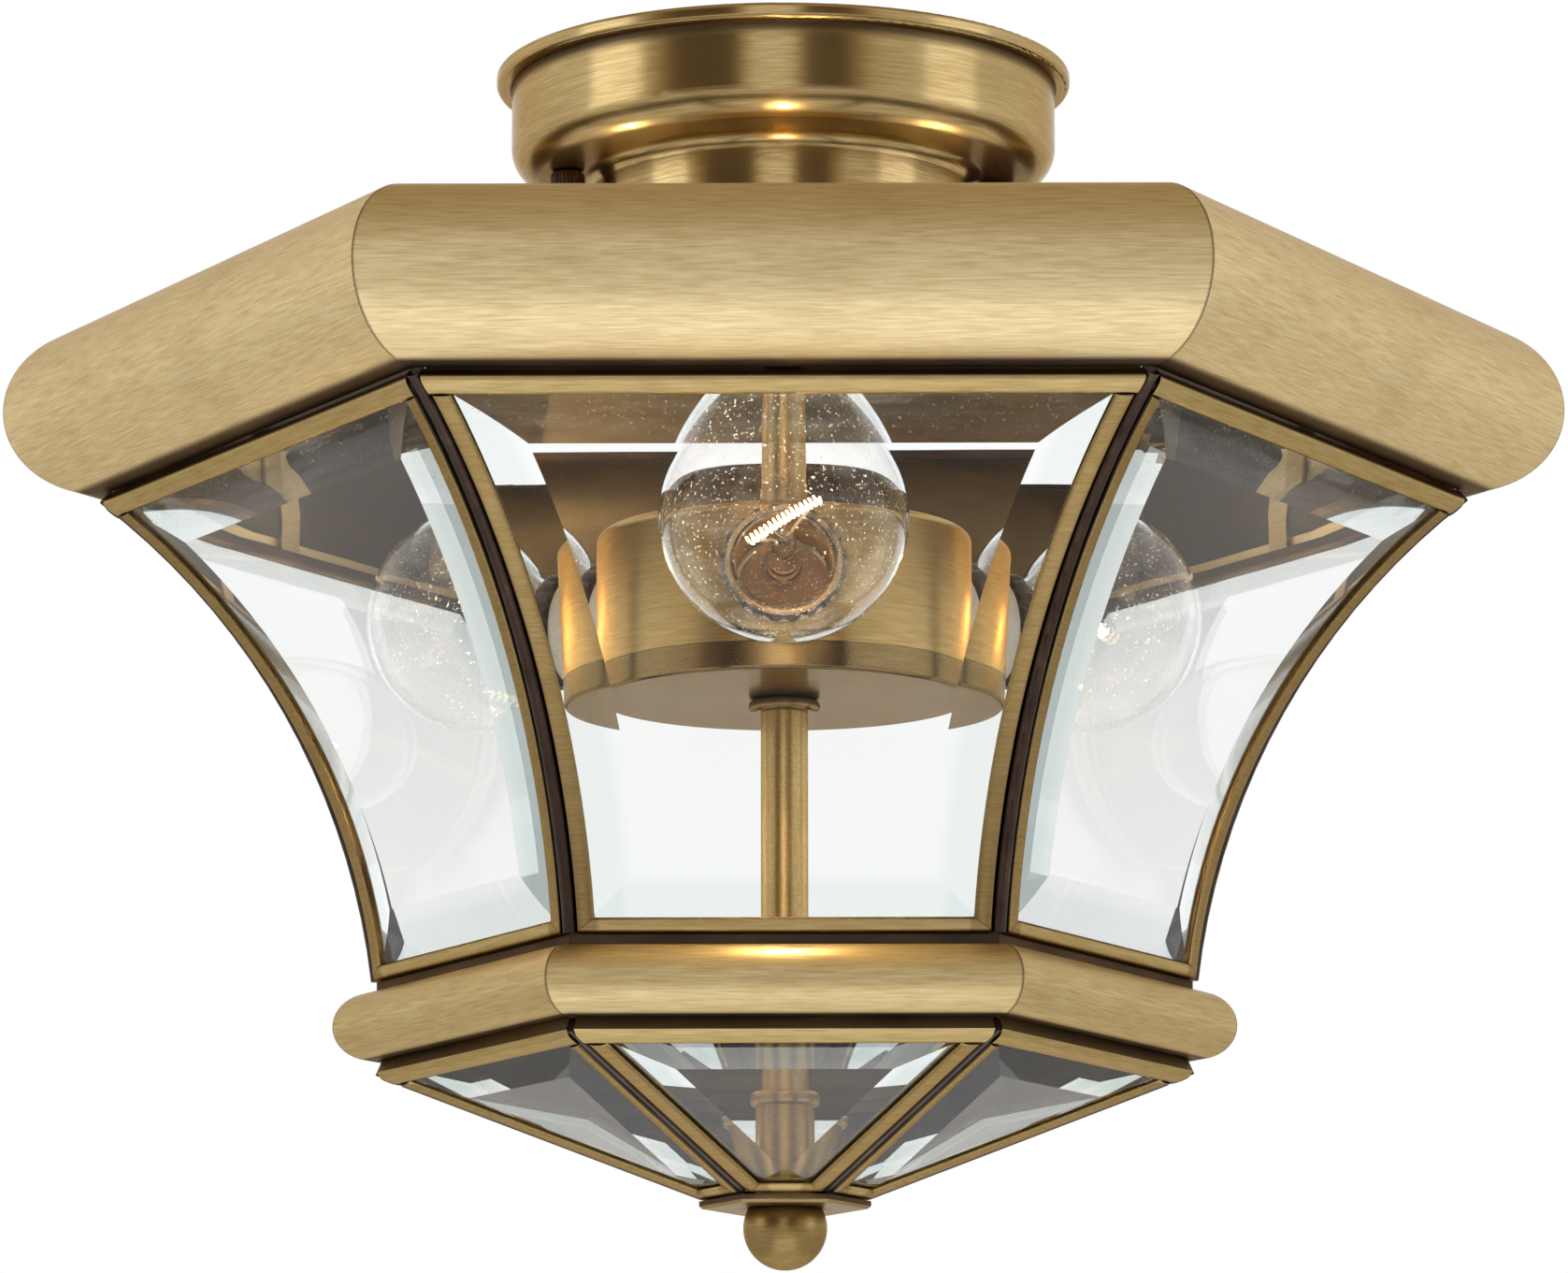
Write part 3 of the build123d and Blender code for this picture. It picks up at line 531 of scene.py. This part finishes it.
def bent_bevel(tree, place):
    """The bevels of a bent pane, where it is thinner than its middle."""
    here = split(tree, place)
    out = calc(tree, "MULTIPLY_ADD", here["Y"], -1.0, -bend_apothem)
    reach = length(tree, out, calc(tree, "SUBTRACT", here["Z"], bend_z))
    return bevel_band(tree, reach, pane_far)


def flat_bevel(tree, place):
    """The bevels of a pyramid pane."""
    here = split(tree, place)
    out = calc(tree, "MULTIPLY_ADD", here["Y"], -1.0, -ridge_apothem)
    up = calc(tree, "SUBTRACT", here["Z"], ridge_z)
    depth = calc(tree, "MULTIPLY", out, -slope_down / slope_length)
    depth = calc(tree, "MULTIPLY_ADD", up, slope_in / slope_length, depth)
    return bevel_band(tree, depth, pane_back)


heat_scale = 400
cooler_green = 0.8
cooler_blue = 0.6


def glowing(name, colour, strength):
    """A hot wire, a little cooler in places."""
    material, tree, shader = new_material(name)
    heat = noise(tree, object_place(tree), all_ways(heat_scale))
    cooler = (colour[0], colour[1] * cooler_green, colour[2] * cooler_blue)
    shade = ramp(tree, heat, [(0.2, cooler), (0.8, colour)])
    tree.links.new(shade, shader.inputs["Emission Color"])
    tree.links.new(shade, shader.inputs["Base Color"])
    shader.inputs["Emission Strength"].default_value = strength
    material.cycles.emission_sampling = "NONE"
    return material


# Materials. The third value of a brass is its streaks per metre along a side, or per radian of a turn
side_streaks = 110
canopy_streaks = 7.0
turned_streaks = 5.0
finial_streaks = 2.0
crown_tone = (1.07, 1.07, 1.06)
waist_tone = (0.8, 0.77, 0.68)
cap_tone = (0.5, 0.45, 0.36)
brace_tone = (0.8, 0.76, 0.68)
canopy_tone = (0.72, 0.65, 0.52)
turned_tone = (0.88, 0.77, 0.58)
sleeve_tone = (0.62, 0.52, 0.33)
finial_tone = (0.4, 0.34, 0.24)
polished_tone = (0.46, 0.4, 0.32)
crown_dark = moulding_dark(crown_back, crown_axis_z, crown_radius, 0.0)
waist_dark = moulding_dark(waist_back, waist_axis_z, waist_radius, -waist_radius)
upper_head_z = bend_z + bend_radius * sin(high_angle - top_strip / bend_radius)
lower_head_z = ridge_z - pyramid_top_strip * slope_down / slope_length
upper_tone = came_tone(upper_head_z)
lower_tone = came_tone(lower_head_z)

crown_brass = brass("brass_crown", sided, side_streaks, crown_tone, crown_dark, roughness=0.38, shine=0.6)
waist_brass = brass("brass_waist", sided, side_streaks, waist_tone, waist_dark, roughness=0.33, shine=0.6)
upper_brass = brass("brass_upper_came", sided, side_streaks, upper_tone, came_painted_shade, roughness=0.3, shine=0.5)
lower_brass = brass("brass_lower_came", sided, side_streaks, lower_tone, came_painted_shade, roughness=0.3, shine=0.5)
cap_brass = brass("brass_cap", sided, side_streaks, cap_tone, cap_painted_shade, roughness=0.3, shine=0.5)
brace_brass = brass("brass_brace", sided, side_streaks, brace_tone, roughness=0.35, shine=0.4)
canopy_brass = brass("brass_canopy", turned_round, canopy_streaks, canopy_tone, canopy_painted_shade,
                     roughness=0.22, shine=0.7, seams=False)
turned_brass = brass("brass_turned", turned_round, turned_streaks, turned_tone,
                     roughness=0.31, shine=0.6, seams=False)
sleeve_brass = brass("brass_sleeve", turned_round, turned_streaks, sleeve_tone,
                     roughness=0.31, shine=0.6, seams=False)
finial_brass = brass("brass_finial", turned_round, finial_streaks, finial_tone, roughness=0.33, shine=0.5)
polished_brass = brass("brass_polished", turned_round, turned_streaks, polished_tone,
                       roughness=0.2, shine=0.3, seams=False, relief=0.01)
aged = aged_brass("dark_brass")
steel = plain("zinc", (0.42, 0.42, 0.4), (0.6, 0.59, 0.56), roughness=0.35, grain=300, metallic=1.0)
base_shell = plain("base_shell", (0.44, 0.3, 0.14), (0.6, 0.43, 0.22),
                   roughness=0.34, grain=300, metallic=1.0)
lead_wire = plain("lead_wire", (0.5, 0.4, 0.3), (0.65, 0.55, 0.42), roughness=0.3, grain=300, metallic=1.0)
green = plain("ground_green", (0.03, 0.16, 0.05), (0.06, 0.24, 0.09), roughness=0.4, grain=500, metallic=0.0)
porcelain = browned_porcelain("porcelain", socket_mouth * cos(lamp_lean))
resin = plain("ring_resin", (0.02, 0.014, 0.01), (0.05, 0.036, 0.026),
              roughness=0.38, grain=700, metallic=0.0)
insulator = plain("insulator", (0.16, 0.09, 0.036), (0.25, 0.145, 0.06),
                  roughness=0.3, grain=600, metallic=0.0)
pane_cast = (0.8, 0.86, 0.85)
pane_dust_from = (-0.125, -0.108)
pyramid_cast = (0.7, 0.8, 0.77)
bulb_clear = (1.0, 1.0, 1.0)
bulb_bend = 1.36
hot_colour = (1.0, 0.74, 0.4)
pane_glass = clear_glass("pane_glass", wave=0.02, mirror=0.15, dust=0.35, cast=pane_cast,
                         bevel_where=bent_bevel, dust_from=pane_dust_from)
pyramid_glass = clear_glass("pyramid_glass", wave=0.02, mirror=0.15, dust=0.025, cast=pyramid_cast,
                            bevel_where=flat_bevel)
bulb_glass = clear_glass("bulb_glass", wave=0.03, mirror=0.4, dust=0.04, specks=0.5,
                         clear=bulb_clear, bend=bulb_bend)
filament_glow = glowing("filament_glow", hot_colour, strength=60.0)

node_material = {
    "canopy": canopy_brass,
    "canopy_studs": steel,
    "mounting_bar": steel,
    "ground_screw": green,
    "centre_rod": turned_brass,
    "rod_nut": steel,
    "lamp_can": turned_brass,
    "can_cap": polished_brass,
    "rod_collar": polished_brass,
    "crown_braces": brace_brass,
    "corner_ribs": aged,
    "waist_moulding": waist_brass,
    "bottom_cap": cap_brass,
    "guide_sleeve": sleeve_brass,
    "finial": finial_brass,
}
for name in side_names:
    node_material[f"crown_{name}"] = crown_brass
    node_material[f"upper_pane_{name}"] = pane_glass
    node_material[f"lower_pane_{name}"] = pyramid_glass
for name in lamp_names:
    node_material[f"lamp_socket_{name}"] = porcelain
    node_material[f"bulb_glass_{name}"] = bulb_glass
for name, material in node_material.items():
    nodes[name].data.materials.clear()
    nodes[name].data.materials.append(material)
    if "pane" in name or "bulb_glass" in name:
        nodes[name].visible_shadow = False


# Mesh helpers
sharp_angle = radians(40)


def add_grid(mesh, rows, close_rows=False, slot=0):
    """Faces between loops of points; close_rows joins the last loop to the first."""
    loops = [[mesh.verts.new(point) for point in row] for row in rows]
    pairs = list(zip(loops, loops[1:]))
    if close_rows:
        pairs.append((loops[-1], loops[0]))
    for first, second in pairs:
        for index in range(len(first)):
            after = (index + 1) % len(first)
            face = mesh.faces.new((first[index], first[after], second[after], second[index]))
            face.material_index = slot
            face.smooth = True
    return loops


def add_closed(mesh, rows, slot=0):
    """A grid whose first and last loops are closed by flat faces."""
    loops = add_grid(mesh, rows, slot=slot)
    for loop in (loops[0], loops[-1]):
        mesh.faces.new(loop).material_index = slot
    return loops


def add_tube(mesh, points, radius, sides=8, slot=0):
    """A round wire along points."""
    rows = []
    across = None
    for index, point in enumerate(points):
        ahead = points[min(index + 1, len(points) - 1)] - points[max(index - 1, 0)]
        ahead.normalize()
        if across is None:
            across = ahead.orthogonal()
        across = (across - ahead * across.dot(ahead)).normalized()
        other = ahead.cross(across)
        turns = [2 * pi * side / sides for side in range(sides)]
        rows.append([point + (across * cos(turn) + other * sin(turn)) * radius for turn in turns])
    add_closed(mesh, rows, slot)


def make_piece(name, mesh, materials, body, node):
    """Turn a built mesh into a piece that stands for a node and moves with its body."""
    bmesh.ops.recalc_face_normals(mesh, faces=mesh.faces)
    data = bpy.data.meshes.new(name)
    mesh.to_mesh(data)
    mesh.free()
    data.set_sharp_from_angle(angle=sharp_angle)
    for material in materials:
        data.materials.append(material)
    piece = bpy.data.objects.new(name, data)
    scene.collection.objects.link(piece)
    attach(piece, body)
    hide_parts(node)
    return piece


# Came frames: a strip across the top and, under it, a mitred run down one side, along the bottom and
# up the other side. Each point of their section is its share of the way across the strip, from the
# outer edge to the glass, and its depth behind the strip's face
came_section = [
    (0.0, came_depth),
    (0.0, 0.0013),
    (0.05, 0.00062),
    (0.14, 0.00022),
    (0.28, 0.00005),
    (0.5, 0.0),
    (0.72, 0.00004),
    (0.87, 0.00018),
    (0.95, 0.00042),
    (1.0, came_flange),
    (0.38, came_flange),
    (0.38, came_depth - came_flange),
    (1.0, came_depth - came_flange),
    (1.0, came_depth),
]
joint_reach = 0.0003
joint_dark = 0.85
near = 1e-7
upper_steps = 28
lower_steps = 2
upper_top = (high_angle, high_angle - top_strip / bend_radius)
upper_bottom = (low_angle, low_angle + bottom_strip / bend_radius)
upper_gaps = (rib_gap / 2, rib_gap / 2 + side_strip)
lower_top = (0.0, pyramid_top_strip)
lower_bottom = (slope_length, slope_length - pyramid_low_strip)
lower_gaps = (lower_rib_gap / 2, lower_rib_gap / 2 + pyramid_side_strip)


def between(pair, share):
    return pair[0] + (pair[1] - pair[0]) * share


def bent_point(angle, gap, depth, sign):
    """A point of the bent front side: up the bend, in from a mitre and behind the face."""
    reach = bend_radius + depth
    if abs(angle - low_angle) < near:
        angle = asin((panel_bottom[1] - bend_z) / reach)
    apothem = bend_apothem - reach * cos(angle)
    cut_apothem = apothem
    if abs(gap - upper_gaps[1]) < near:
        cut_apothem = bend_apothem - bend_radius * cos(angle)
    x = cut_apothem * tan(half_step) - gap / cos(half_step)
    return Vector((sign * x, -apothem, bend_z + reach * sin(angle)))


def slope_point(along, gap, depth, sign):
    """A point of the pyramid's front side: down the slope, in from a mitre and behind the face."""
    apothem = ridge_apothem - along * slope_in / slope_length - depth * slope_down / slope_length
    if along == 0:
        apothem = ridge_apothem - max(0.0, depth - ridge_lip) * slope_down / slope_length
    x = apothem * tan(half_step) - gap / cos(half_step)
    z = ridge_z - along * slope_down / slope_length + depth * slope_in / slope_length
    return Vector((sign * x, -apothem, z))


def came_mesh(place, top, bottom, gaps, steps):
    """A frame's mesh; top, bottom and gaps are (outer, inner) pairs, and steps divide each side."""
    mesh = bmesh.new()
    joint = mesh.verts.layers.float.new("joint")

    def side_row(share, sign):
        row = []
        for across, depth in came_section:
            along = between((top[1], between(bottom, across)), share)
            row.append(place(along, between(gaps, across), depth, sign))
        return row

    def end_row(sign):
        return [place(between(top, across), gaps[0], depth, sign) for across, depth in came_section]

    def shifted(row, sign):
        return [point - Vector((sign * joint_reach, 0, 0)) for point in row]

    run_share = joint_reach / chord
    shares = [0.0, run_share] + [step / steps for step in range(1, steps)] + [1 - run_share, 1.0]
    right = [side_row(share, 1) for share in shares]
    left = [side_row(share, -1) for share in reversed(shares)]
    run = right + [shifted(right[-1], 1), shifted(left[0], -1)] + left
    loops = add_closed(mesh, run)
    for index in (0, len(right) - 1, len(right) + 2, len(run) - 1):
        for vert in loops[index]:
            vert[joint] = joint_dark
    right_end = end_row(1)
    left_end = end_row(-1)
    add_closed(mesh, [right_end, shifted(right_end, 1), shifted(left_end, -1), left_end])
    return mesh


def turn_mesh(mesh, angle):
    bmesh.ops.rotate(mesh, cent=(0, 0, 0), matrix=Matrix.Rotation(angle, 3, "Z"), verts=mesh.verts)


for index, name in enumerate(side_names):
    upper = came_mesh(bent_point, upper_top, upper_bottom, upper_gaps, upper_steps)
    lower = came_mesh(slope_point, lower_top, lower_bottom, lower_gaps, lower_steps)
    for kind, mesh, material in (("upper", upper, upper_brass), ("lower", lower, lower_brass)):
        turn_mesh(mesh, index * side_step)
        node = f"{kind}_frame_{name}"
        make_piece(f"{kind}_came_{name}", mesh, [material], "lantern", node)


# Lamps

def lamp_place(index, along, across=0.0, up=0.0):
    """A point along a lamp's axis, moved sideways and up."""
    out = Vector((0, -cos(lamp_lean), sin(lamp_lean)))
    rising = Vector((0, sin(lamp_lean), cos(lamp_lean)))
    point = out * along + Vector((1, 0, 0)) * across + rising * up
    point.rotate(Matrix.Rotation(index * lamp_step, 3, "Z"))
    return point + Vector((0, 0, lamp_axis_z))


def lamp_loop(index, along, radius_at, count):
    """A loop round a lamp's axis; radius_at gives the radius at an angle."""
    loop = []
    for step in range(count):
        turn = 2 * pi * step / count
        radius = radius_at(turn)
        loop.append(lamp_place(index, along, radius * cos(turn), radius * sin(turn)))
    return loop


# Socket rings, ribbed: along the axis, radius and whether the ribs cut it
ring_ribs = 20
rib_steps = 8
ring_groove = 0.0009
ring_bore = socket_radius + 0.0001
ring_profile = [
    (socket_mouth - ring_length, ring_bore, False),
    (socket_mouth - ring_length, ring_radius - 0.0012, False),
    (socket_mouth - ring_length + 0.0008, ring_radius, True),
    (socket_mouth - 0.0016, ring_radius, True),
    (socket_mouth - 0.0007, ring_radius - 0.0004, True),
    (socket_mouth, ring_radius - 0.0012, False),
    (socket_mouth, ring_bore, False),
]
rings = bmesh.new()
for index in range(len(lamp_names)):
    rows = []
    for along, radius, ribbed in ring_profile:
        depth = ring_groove if ribbed else 0.0

        def ribbed_radius(turn, radius=radius, depth=depth):
            return radius - depth * (0.5 + 0.5 * cos(ring_ribs * turn)) ** 2

        rows.append(lamp_loop(index, along, ribbed_radius, ring_ribs * rib_steps))
    add_grid(rings, rows, close_rows=True)
make_piece("ribbed_socket_rings", rings, [resin], "fixture", "socket_rings")

# Screw bases, open at the front so that the glass shows the inside of the thread
thread_pitch = 0.0036
thread_depth = 0.0008
shell_wall = 0.0004
thread_steps = 40
thread_sides = 48
cone_sides = 32
shell_lip = 0.001


def thread_radius(along, inset):
    """The thread's radius round the axis at one place along it, less an inset."""
    def at(turn):
        wave = cos(2 * pi * along / thread_pitch - turn)
        return base_radius - inset - thread_depth * (0.5 - 0.5 * wave)
    return at


def level(radius):
    """The same radius at every angle."""
    return lambda turn: radius


def base_mesh(index):
    """A bulb's base: contact, insulator, and a threaded shell folded back into itself at its mouth."""
    mesh = bmesh.new()
    tip = [(base_start, 0.002), (base_start, 0.0042), (base_start + 0.002, 0.0045)]
    add_closed(mesh, [lamp_loop(index, along, level(radius), cone_sides) for along, radius in tip])
    cone = [
        (base_start + 0.0019, 0.0046),
        (shell_start, base_radius - 0.002),
        (shell_start + shell_lip, 0.0112),
    ]
    add_closed(mesh, [lamp_loop(index, along, level(radius), cone_sides) for along, radius in cone], slot=1)
    run = base_end - shell_start - shell_lip
    stops = [shell_start + shell_lip + run * step / thread_steps for step in range(thread_steps + 1)]
    rows = []
    for inset, way in ((0.0, stops), (shell_wall, reversed(stops))):
        rows += [lamp_loop(index, stop, thread_radius(stop, inset), thread_sides) for stop in way]
    add_grid(mesh, rows, close_rows=True)
    return mesh


# Filaments: a glass stem, two leads, two hooks and a coil
coil_turns = 16
coil_radius = 0.0011
coil_wire = 0.00026
coil_steps = 14
coil_bow = 0.0015
lead_radius = 0.00035
hook_radius = 0.00016
stem_sides = 28


def across_lamp(index, along, distance, lift=0.0):
    """A point off a lamp's axis, along the filament's own direction and square to it."""
    across = distance * cos(filament_turn) - lift * sin(filament_turn)
    up = distance * sin(filament_turn) + lift * cos(filament_turn)
    return lamp_place(index, along, across, up)


def filament_mesh(index):
    """A bulb's stem, and the leads, hooks and coil that it holds."""
    mesh = bmesh.new()
    stem = [
        (base_end - 0.012, 0.0095),
        (base_end - 0.009, 0.0075),
        (base_end - 0.004, 0.0048),
        (base_end + 0.003, 0.0036),
        (base_end + 0.012, 0.0031),
        (base_end + 0.018, 0.0027),
        (base_end + 0.0205, 0.0016),
    ]
    add_closed(mesh, [lamp_loop(index, along, level(radius), stem_sides) for along, radius in stem])
    for sign in (-1, 1):
        foot = across_lamp(index, base_end + 0.017, sign * 0.0012)
        knee = across_lamp(index, base_end + 0.023, sign * 0.0035)
        head = across_lamp(index, filament_at, sign * filament_span / 2)
        add_tube(mesh, [foot, knee, head], lead_radius, slot=1)
        hook_foot = across_lamp(index, base_end + 0.019, 0.0, sign * 0.001)
        hook_knee = across_lamp(index, filament_at - 0.004, sign * 0.0025, sign * 0.001)
        hook = across_lamp(index, filament_at, sign * 0.0034)
        add_tube(mesh, [hook_foot, hook_knee, hook], hook_radius, sides=6, slot=1)
    coil = []
    for step in range(coil_turns * coil_steps + 1):
        share = step / (coil_turns * coil_steps)
        turn = 2 * pi * coil_turns * share
        bow = coil_bow * sin(pi * share)
        distance = (share - 0.5) * filament_span
        along = filament_at + bow + coil_radius * cos(turn)
        coil.append(across_lamp(index, along, distance, coil_radius * sin(turn)))
    add_tube(mesh, coil, coil_wire, sides=6, slot=2)
    return mesh


base_materials = [base_shell, insulator]
filament_materials = [bulb_glass, lead_wire, filament_glow]
for index, name in enumerate(lamp_names):
    body = f"bulb_{name}"
    base = base_mesh(index)
    make_piece(f"screw_base_{name}", base, base_materials, body, f"bulb_base_{name}")
    filament = filament_mesh(index)
    make_piece(f"filament_{name}", filament, filament_materials, body, f"bulb_filament_{name}")

# Canopy nuts, knurled: height, radius and the knurls' share of their depth
nut_knurls = 26
knurl_steps = 6
knurl_depth = 0.00035
for name in ("canopy_nut_left", "canopy_nut_right"):
    low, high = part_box(name)
    centre = Vector(((low[0] + high[0]) / 2, (low[1] + high[1]) / 2, 0))
    nut_radius = (high[0] - low[0]) / 2
    nut_profile = [
        (high[2], nut_radius - 0.001, 0.0),
        (high[2] - 0.0003, nut_radius - 0.0003, 0.0),
        (high[2] - 0.001, nut_radius, 1.0),
        (low[2] + 0.002, nut_radius, 1.0),
        (low[2] + 0.0012, nut_radius - 0.0003, 0.4),
        (low[2] + 0.0004, nut_radius - 0.0011, 0.0),
        (low[2], nut_radius - 0.0024, 0.0),
    ]
    rows = []
    for z, radius, share in nut_profile:
        row = []
        for step in range(nut_knurls * knurl_steps):
            turn = 2 * pi * step / (nut_knurls * knurl_steps)
            reach = radius - share * knurl_depth * (0.5 + 0.5 * cos(nut_knurls * turn))
            row.append(centre + Vector((reach * cos(turn), reach * sin(turn), z)))
        rows.append(row)
    nut = bmesh.new()
    add_closed(nut, rows)
    make_piece(f"knurled_{name}", nut, [aged], name, name)

# Floor, far below the hanging light: near white to the camera and through glass, darker to mirrors,
# darkest in sharp reflections, and clear from below
floor_z = -1.3
floor_reach = 40.0
floor_grey = 0.85
floor_seen = 0.88
floor_mirrored = 0.7
sharp_loss = 0.55
floor_roughness = 0.8
paper_colour = (0.98, 1.0, 1.02, 1)
floor_corners = [(-1, -1), (1, -1), (1, 1), (-1, 1)]
floor_points = [(x * floor_reach, y * floor_reach, floor_z) for x, y in floor_corners]
floor_mesh = bpy.data.meshes.new("floor")
floor_mesh.from_pydata(floor_points, [], [(0, 1, 2, 3)])
floor = bpy.data.objects.new("floor", floor_mesh)
scene.collection.objects.link(floor)
floor_material, tree, shader = new_material("floor")
shader.inputs["Base Color"].default_value = grey(floor_grey)
shader.inputs["Roughness"].default_value = floor_roughness
light_path = tree.nodes.new("ShaderNodeLightPath").outputs
straight = calc(tree, "MAXIMUM", seen_through(tree, light_path), light_path["Is Camera Ray"])
mirrored = calc(tree, "MAXIMUM", light_path["Is Transmission Ray"], light_path["Is Glossy Ray"])
sharp = calc(tree, "MULTIPLY", light_path["Is Singular Ray"], light_path["Is Reflection Ray"])
mirrored = calc(tree, "MULTIPLY", mirrored, calc(tree, "MULTIPLY_ADD", sharp, -sharp_loss, floor_mirrored))
looked_at = calc(tree, "MAXIMUM", calc(tree, "MULTIPLY", straight, floor_seen), mirrored)
paper = add_node(tree, "ShaderNodeEmission", {"Color": paper_colour, "Strength": 1.0})
blend = add_node(tree, "ShaderNodeMixShader", {0: looked_at})
tree.links.new(shader.outputs["BSDF"], blend.inputs[1])
tree.links.new(paper.outputs["Emission"], blend.inputs[2])
below = tree.nodes.new("ShaderNodeNewGeometry").outputs["Backfacing"]
clear = tree.nodes.new("ShaderNodeBsdfTransparent")
one_sided = add_node(tree, "ShaderNodeMixShader", {0: below})
tree.links.new(blend.outputs["Shader"], one_sided.inputs[1])
tree.links.new(clear.outputs["BSDF"], one_sided.inputs[2])
tree.links.new(one_sided.outputs["Shader"], tree.nodes["Material Output"].inputs["Surface"])
floor.data.materials.append(floor_material)

# World: white to the camera, and through glass as far as the backdrop's edges; to the rest a studio
# with a white back, dark flags in front on both sides of a narrow window, and a dim ceiling
flags_foot = (-0.55, -0.15)
flags_head = (0.75, 0.4)
backdrop_edge = (0.17, 0.28)
past_backdrop = (0.68, 0.74, 0.73)

# Heights from 0, straight down, to 1, straight up, and the light there
ceiling_stops = [
    (0.0, 0.8), (0.14, 0.98), (0.4, 0.86), (0.62, 0.76), (0.7, 0.68), (0.79, 0.82), (0.86, 0.4), (1.0, 0.4),
]
# Bearings in degrees from the front, and the share of the light there
flag_stops = [
    (-180, 1.15), (-95, 1.1), (-58, 0.75), (-46, 0.1), (-20, 0.07), (-12, 1.15),
    (3, 1.2), (10, 0.1), (26, 0.08), (40, 0.9), (90, 1.1), (180, 1.15),
]
# Light, and the colour of the room at that light
studio_tones = [
    (0.0, (0.02, 0.015, 0.012)),
    (0.1, (0.13, 0.093, 0.062)),
    (0.4, (0.5, 0.41, 0.28)),
    (0.62, (0.77, 0.74, 0.68)),
    (0.75, (0.93, 0.94, 0.95)),
    (1.0, (1.18, 1.22, 1.28)),
]
world = bpy.data.worlds.new("studio")
scene.world = world
world.use_nodes = True
tree = world.node_tree
background = tree.nodes["Background"]
heading = split(tree, tree.nodes.new("ShaderNodeTexCoord").outputs["Generated"])
height = calc(tree, "MULTIPLY_ADD", heading["Z"], 0.5, 0.5)
ceiling = ramp(tree, height, [(place, grey(shade)) for place, shade in ceiling_stops])
bearing = calc(tree, "ARCTAN2", heading["X"], calc(tree, "MULTIPLY", heading["Y"], -1.0))
bearing = calc(tree, "MULTIPLY_ADD", bearing, 0.5 / pi, 0.5)
flags = ramp(tree, bearing, [(angle / 360 + 0.5, grey(shade)) for angle, shade in flag_stops])
above_foot = rise(tree, heading["Z"], *flags_foot)
level_share = calc(tree, "MULTIPLY", above_foot, rise(tree, heading["Z"], *flags_head))
walls = mix(tree, level_share, grey(1.0), flags)
studio = calc(tree, "MULTIPLY", ceiling, walls)
studio = ramp(tree, studio, studio_tones)
sideways = calc(tree, "DIVIDE", heading["X"], length(tree, heading["X"], heading["Y"]))
beyond = rise(tree, calc(tree, "ABSOLUTE", sideways), *backdrop_edge)
light_path = tree.nodes.new("ShaderNodeLightPath").outputs
through = mix(tree, beyond, grey(1.0), past_backdrop)
dressed = mix(tree, seen_through(tree, light_path), studio, through)
dressed = mix(tree, light_path["Is Camera Ray"], dressed, grey(1.0))
tree.links.new(dressed, background.inputs["Color"])

# Lights
softbox_colour = (0.95, 1.0, 1.1)
glow_colour = (1.0, 0.77, 0.46)
lit_middle = (0, 0, -0.15)


def softbox(name, place, size, power):
    """A square area lamp that faces the middle of the part."""
    lamp = bpy.data.lights.new(name, "AREA")
    lamp.size = size
    lamp.energy = power
    lamp.color = softbox_colour
    holder = bpy.data.objects.new(name, lamp)
    holder.location = place
    holder.rotation_euler = (Vector(lit_middle) - Vector(place)).to_track_quat("-Z", "Y").to_euler()
    holder.visible_camera = False
    holder.visible_transmission = False
    scene.collection.objects.link(holder)


softbox("key", (-1.7, -0.5, 0.3), size=0.8, power=2.6)
softbox("fill", (1.7, -0.5, 0.1), size=0.8, power=2.3)
softbox("front_low", (0, -0.46, -0.87), size=0.8, power=1.4)
softbox("back_low", (0, 0.45, -1.0), size=1.0, power=1.6)


# Lamp glow, which the filaments are too small to give

def add_glow(name, place, power, through_glass):
    """A point lamp in a bulb, seen either by what it lights or by the specks on the bulb's glass."""
    glow = bpy.data.lights.new(name, "POINT")
    glow.energy = power
    glow.shadow_soft_size = 0.0
    glow.color = glow_colour
    holder = bpy.data.objects.new(name, glow)
    holder.location = place
    holder.visible_camera = False
    holder.visible_diffuse = not through_glass
    holder.visible_glossy = not through_glass
    holder.visible_transmission = through_glass
    scene.collection.objects.link(holder)


for index, name in enumerate(lamp_names):
    add_glow(f"glow_{name}", lamp_place(index, filament_at), power=0.2, through_glass=False)
    add_glow(f"sparkle_{name}", lamp_place(index, filament_at), power=2.0, through_glass=True)

# Camera, fitted to the photograph's view
image_width = 1677
sensor_width = 36.0
focal_px = 7555.4182
shift_x_px = -8.7418
shift_y_px = -3.3845
tilt_up = 0.1788
roll = 0.0019
camera_place = (0.0013848, -1.712714, -0.4507216)
camera_data = bpy.data.cameras.new("camera")
camera_data.sensor_fit = "HORIZONTAL"
camera_data.sensor_width = sensor_width
camera_data.lens = sensor_width * focal_px / image_width
camera_data.shift_x = shift_x_px / image_width
camera_data.shift_y = shift_y_px / image_width
camera = bpy.data.objects.new("camera", camera_data)
camera.location = camera_place
camera.rotation_euler = (pi / 2 + tilt_up, roll, 0.0)
scene.collection.objects.link(camera)
scene.camera = camera
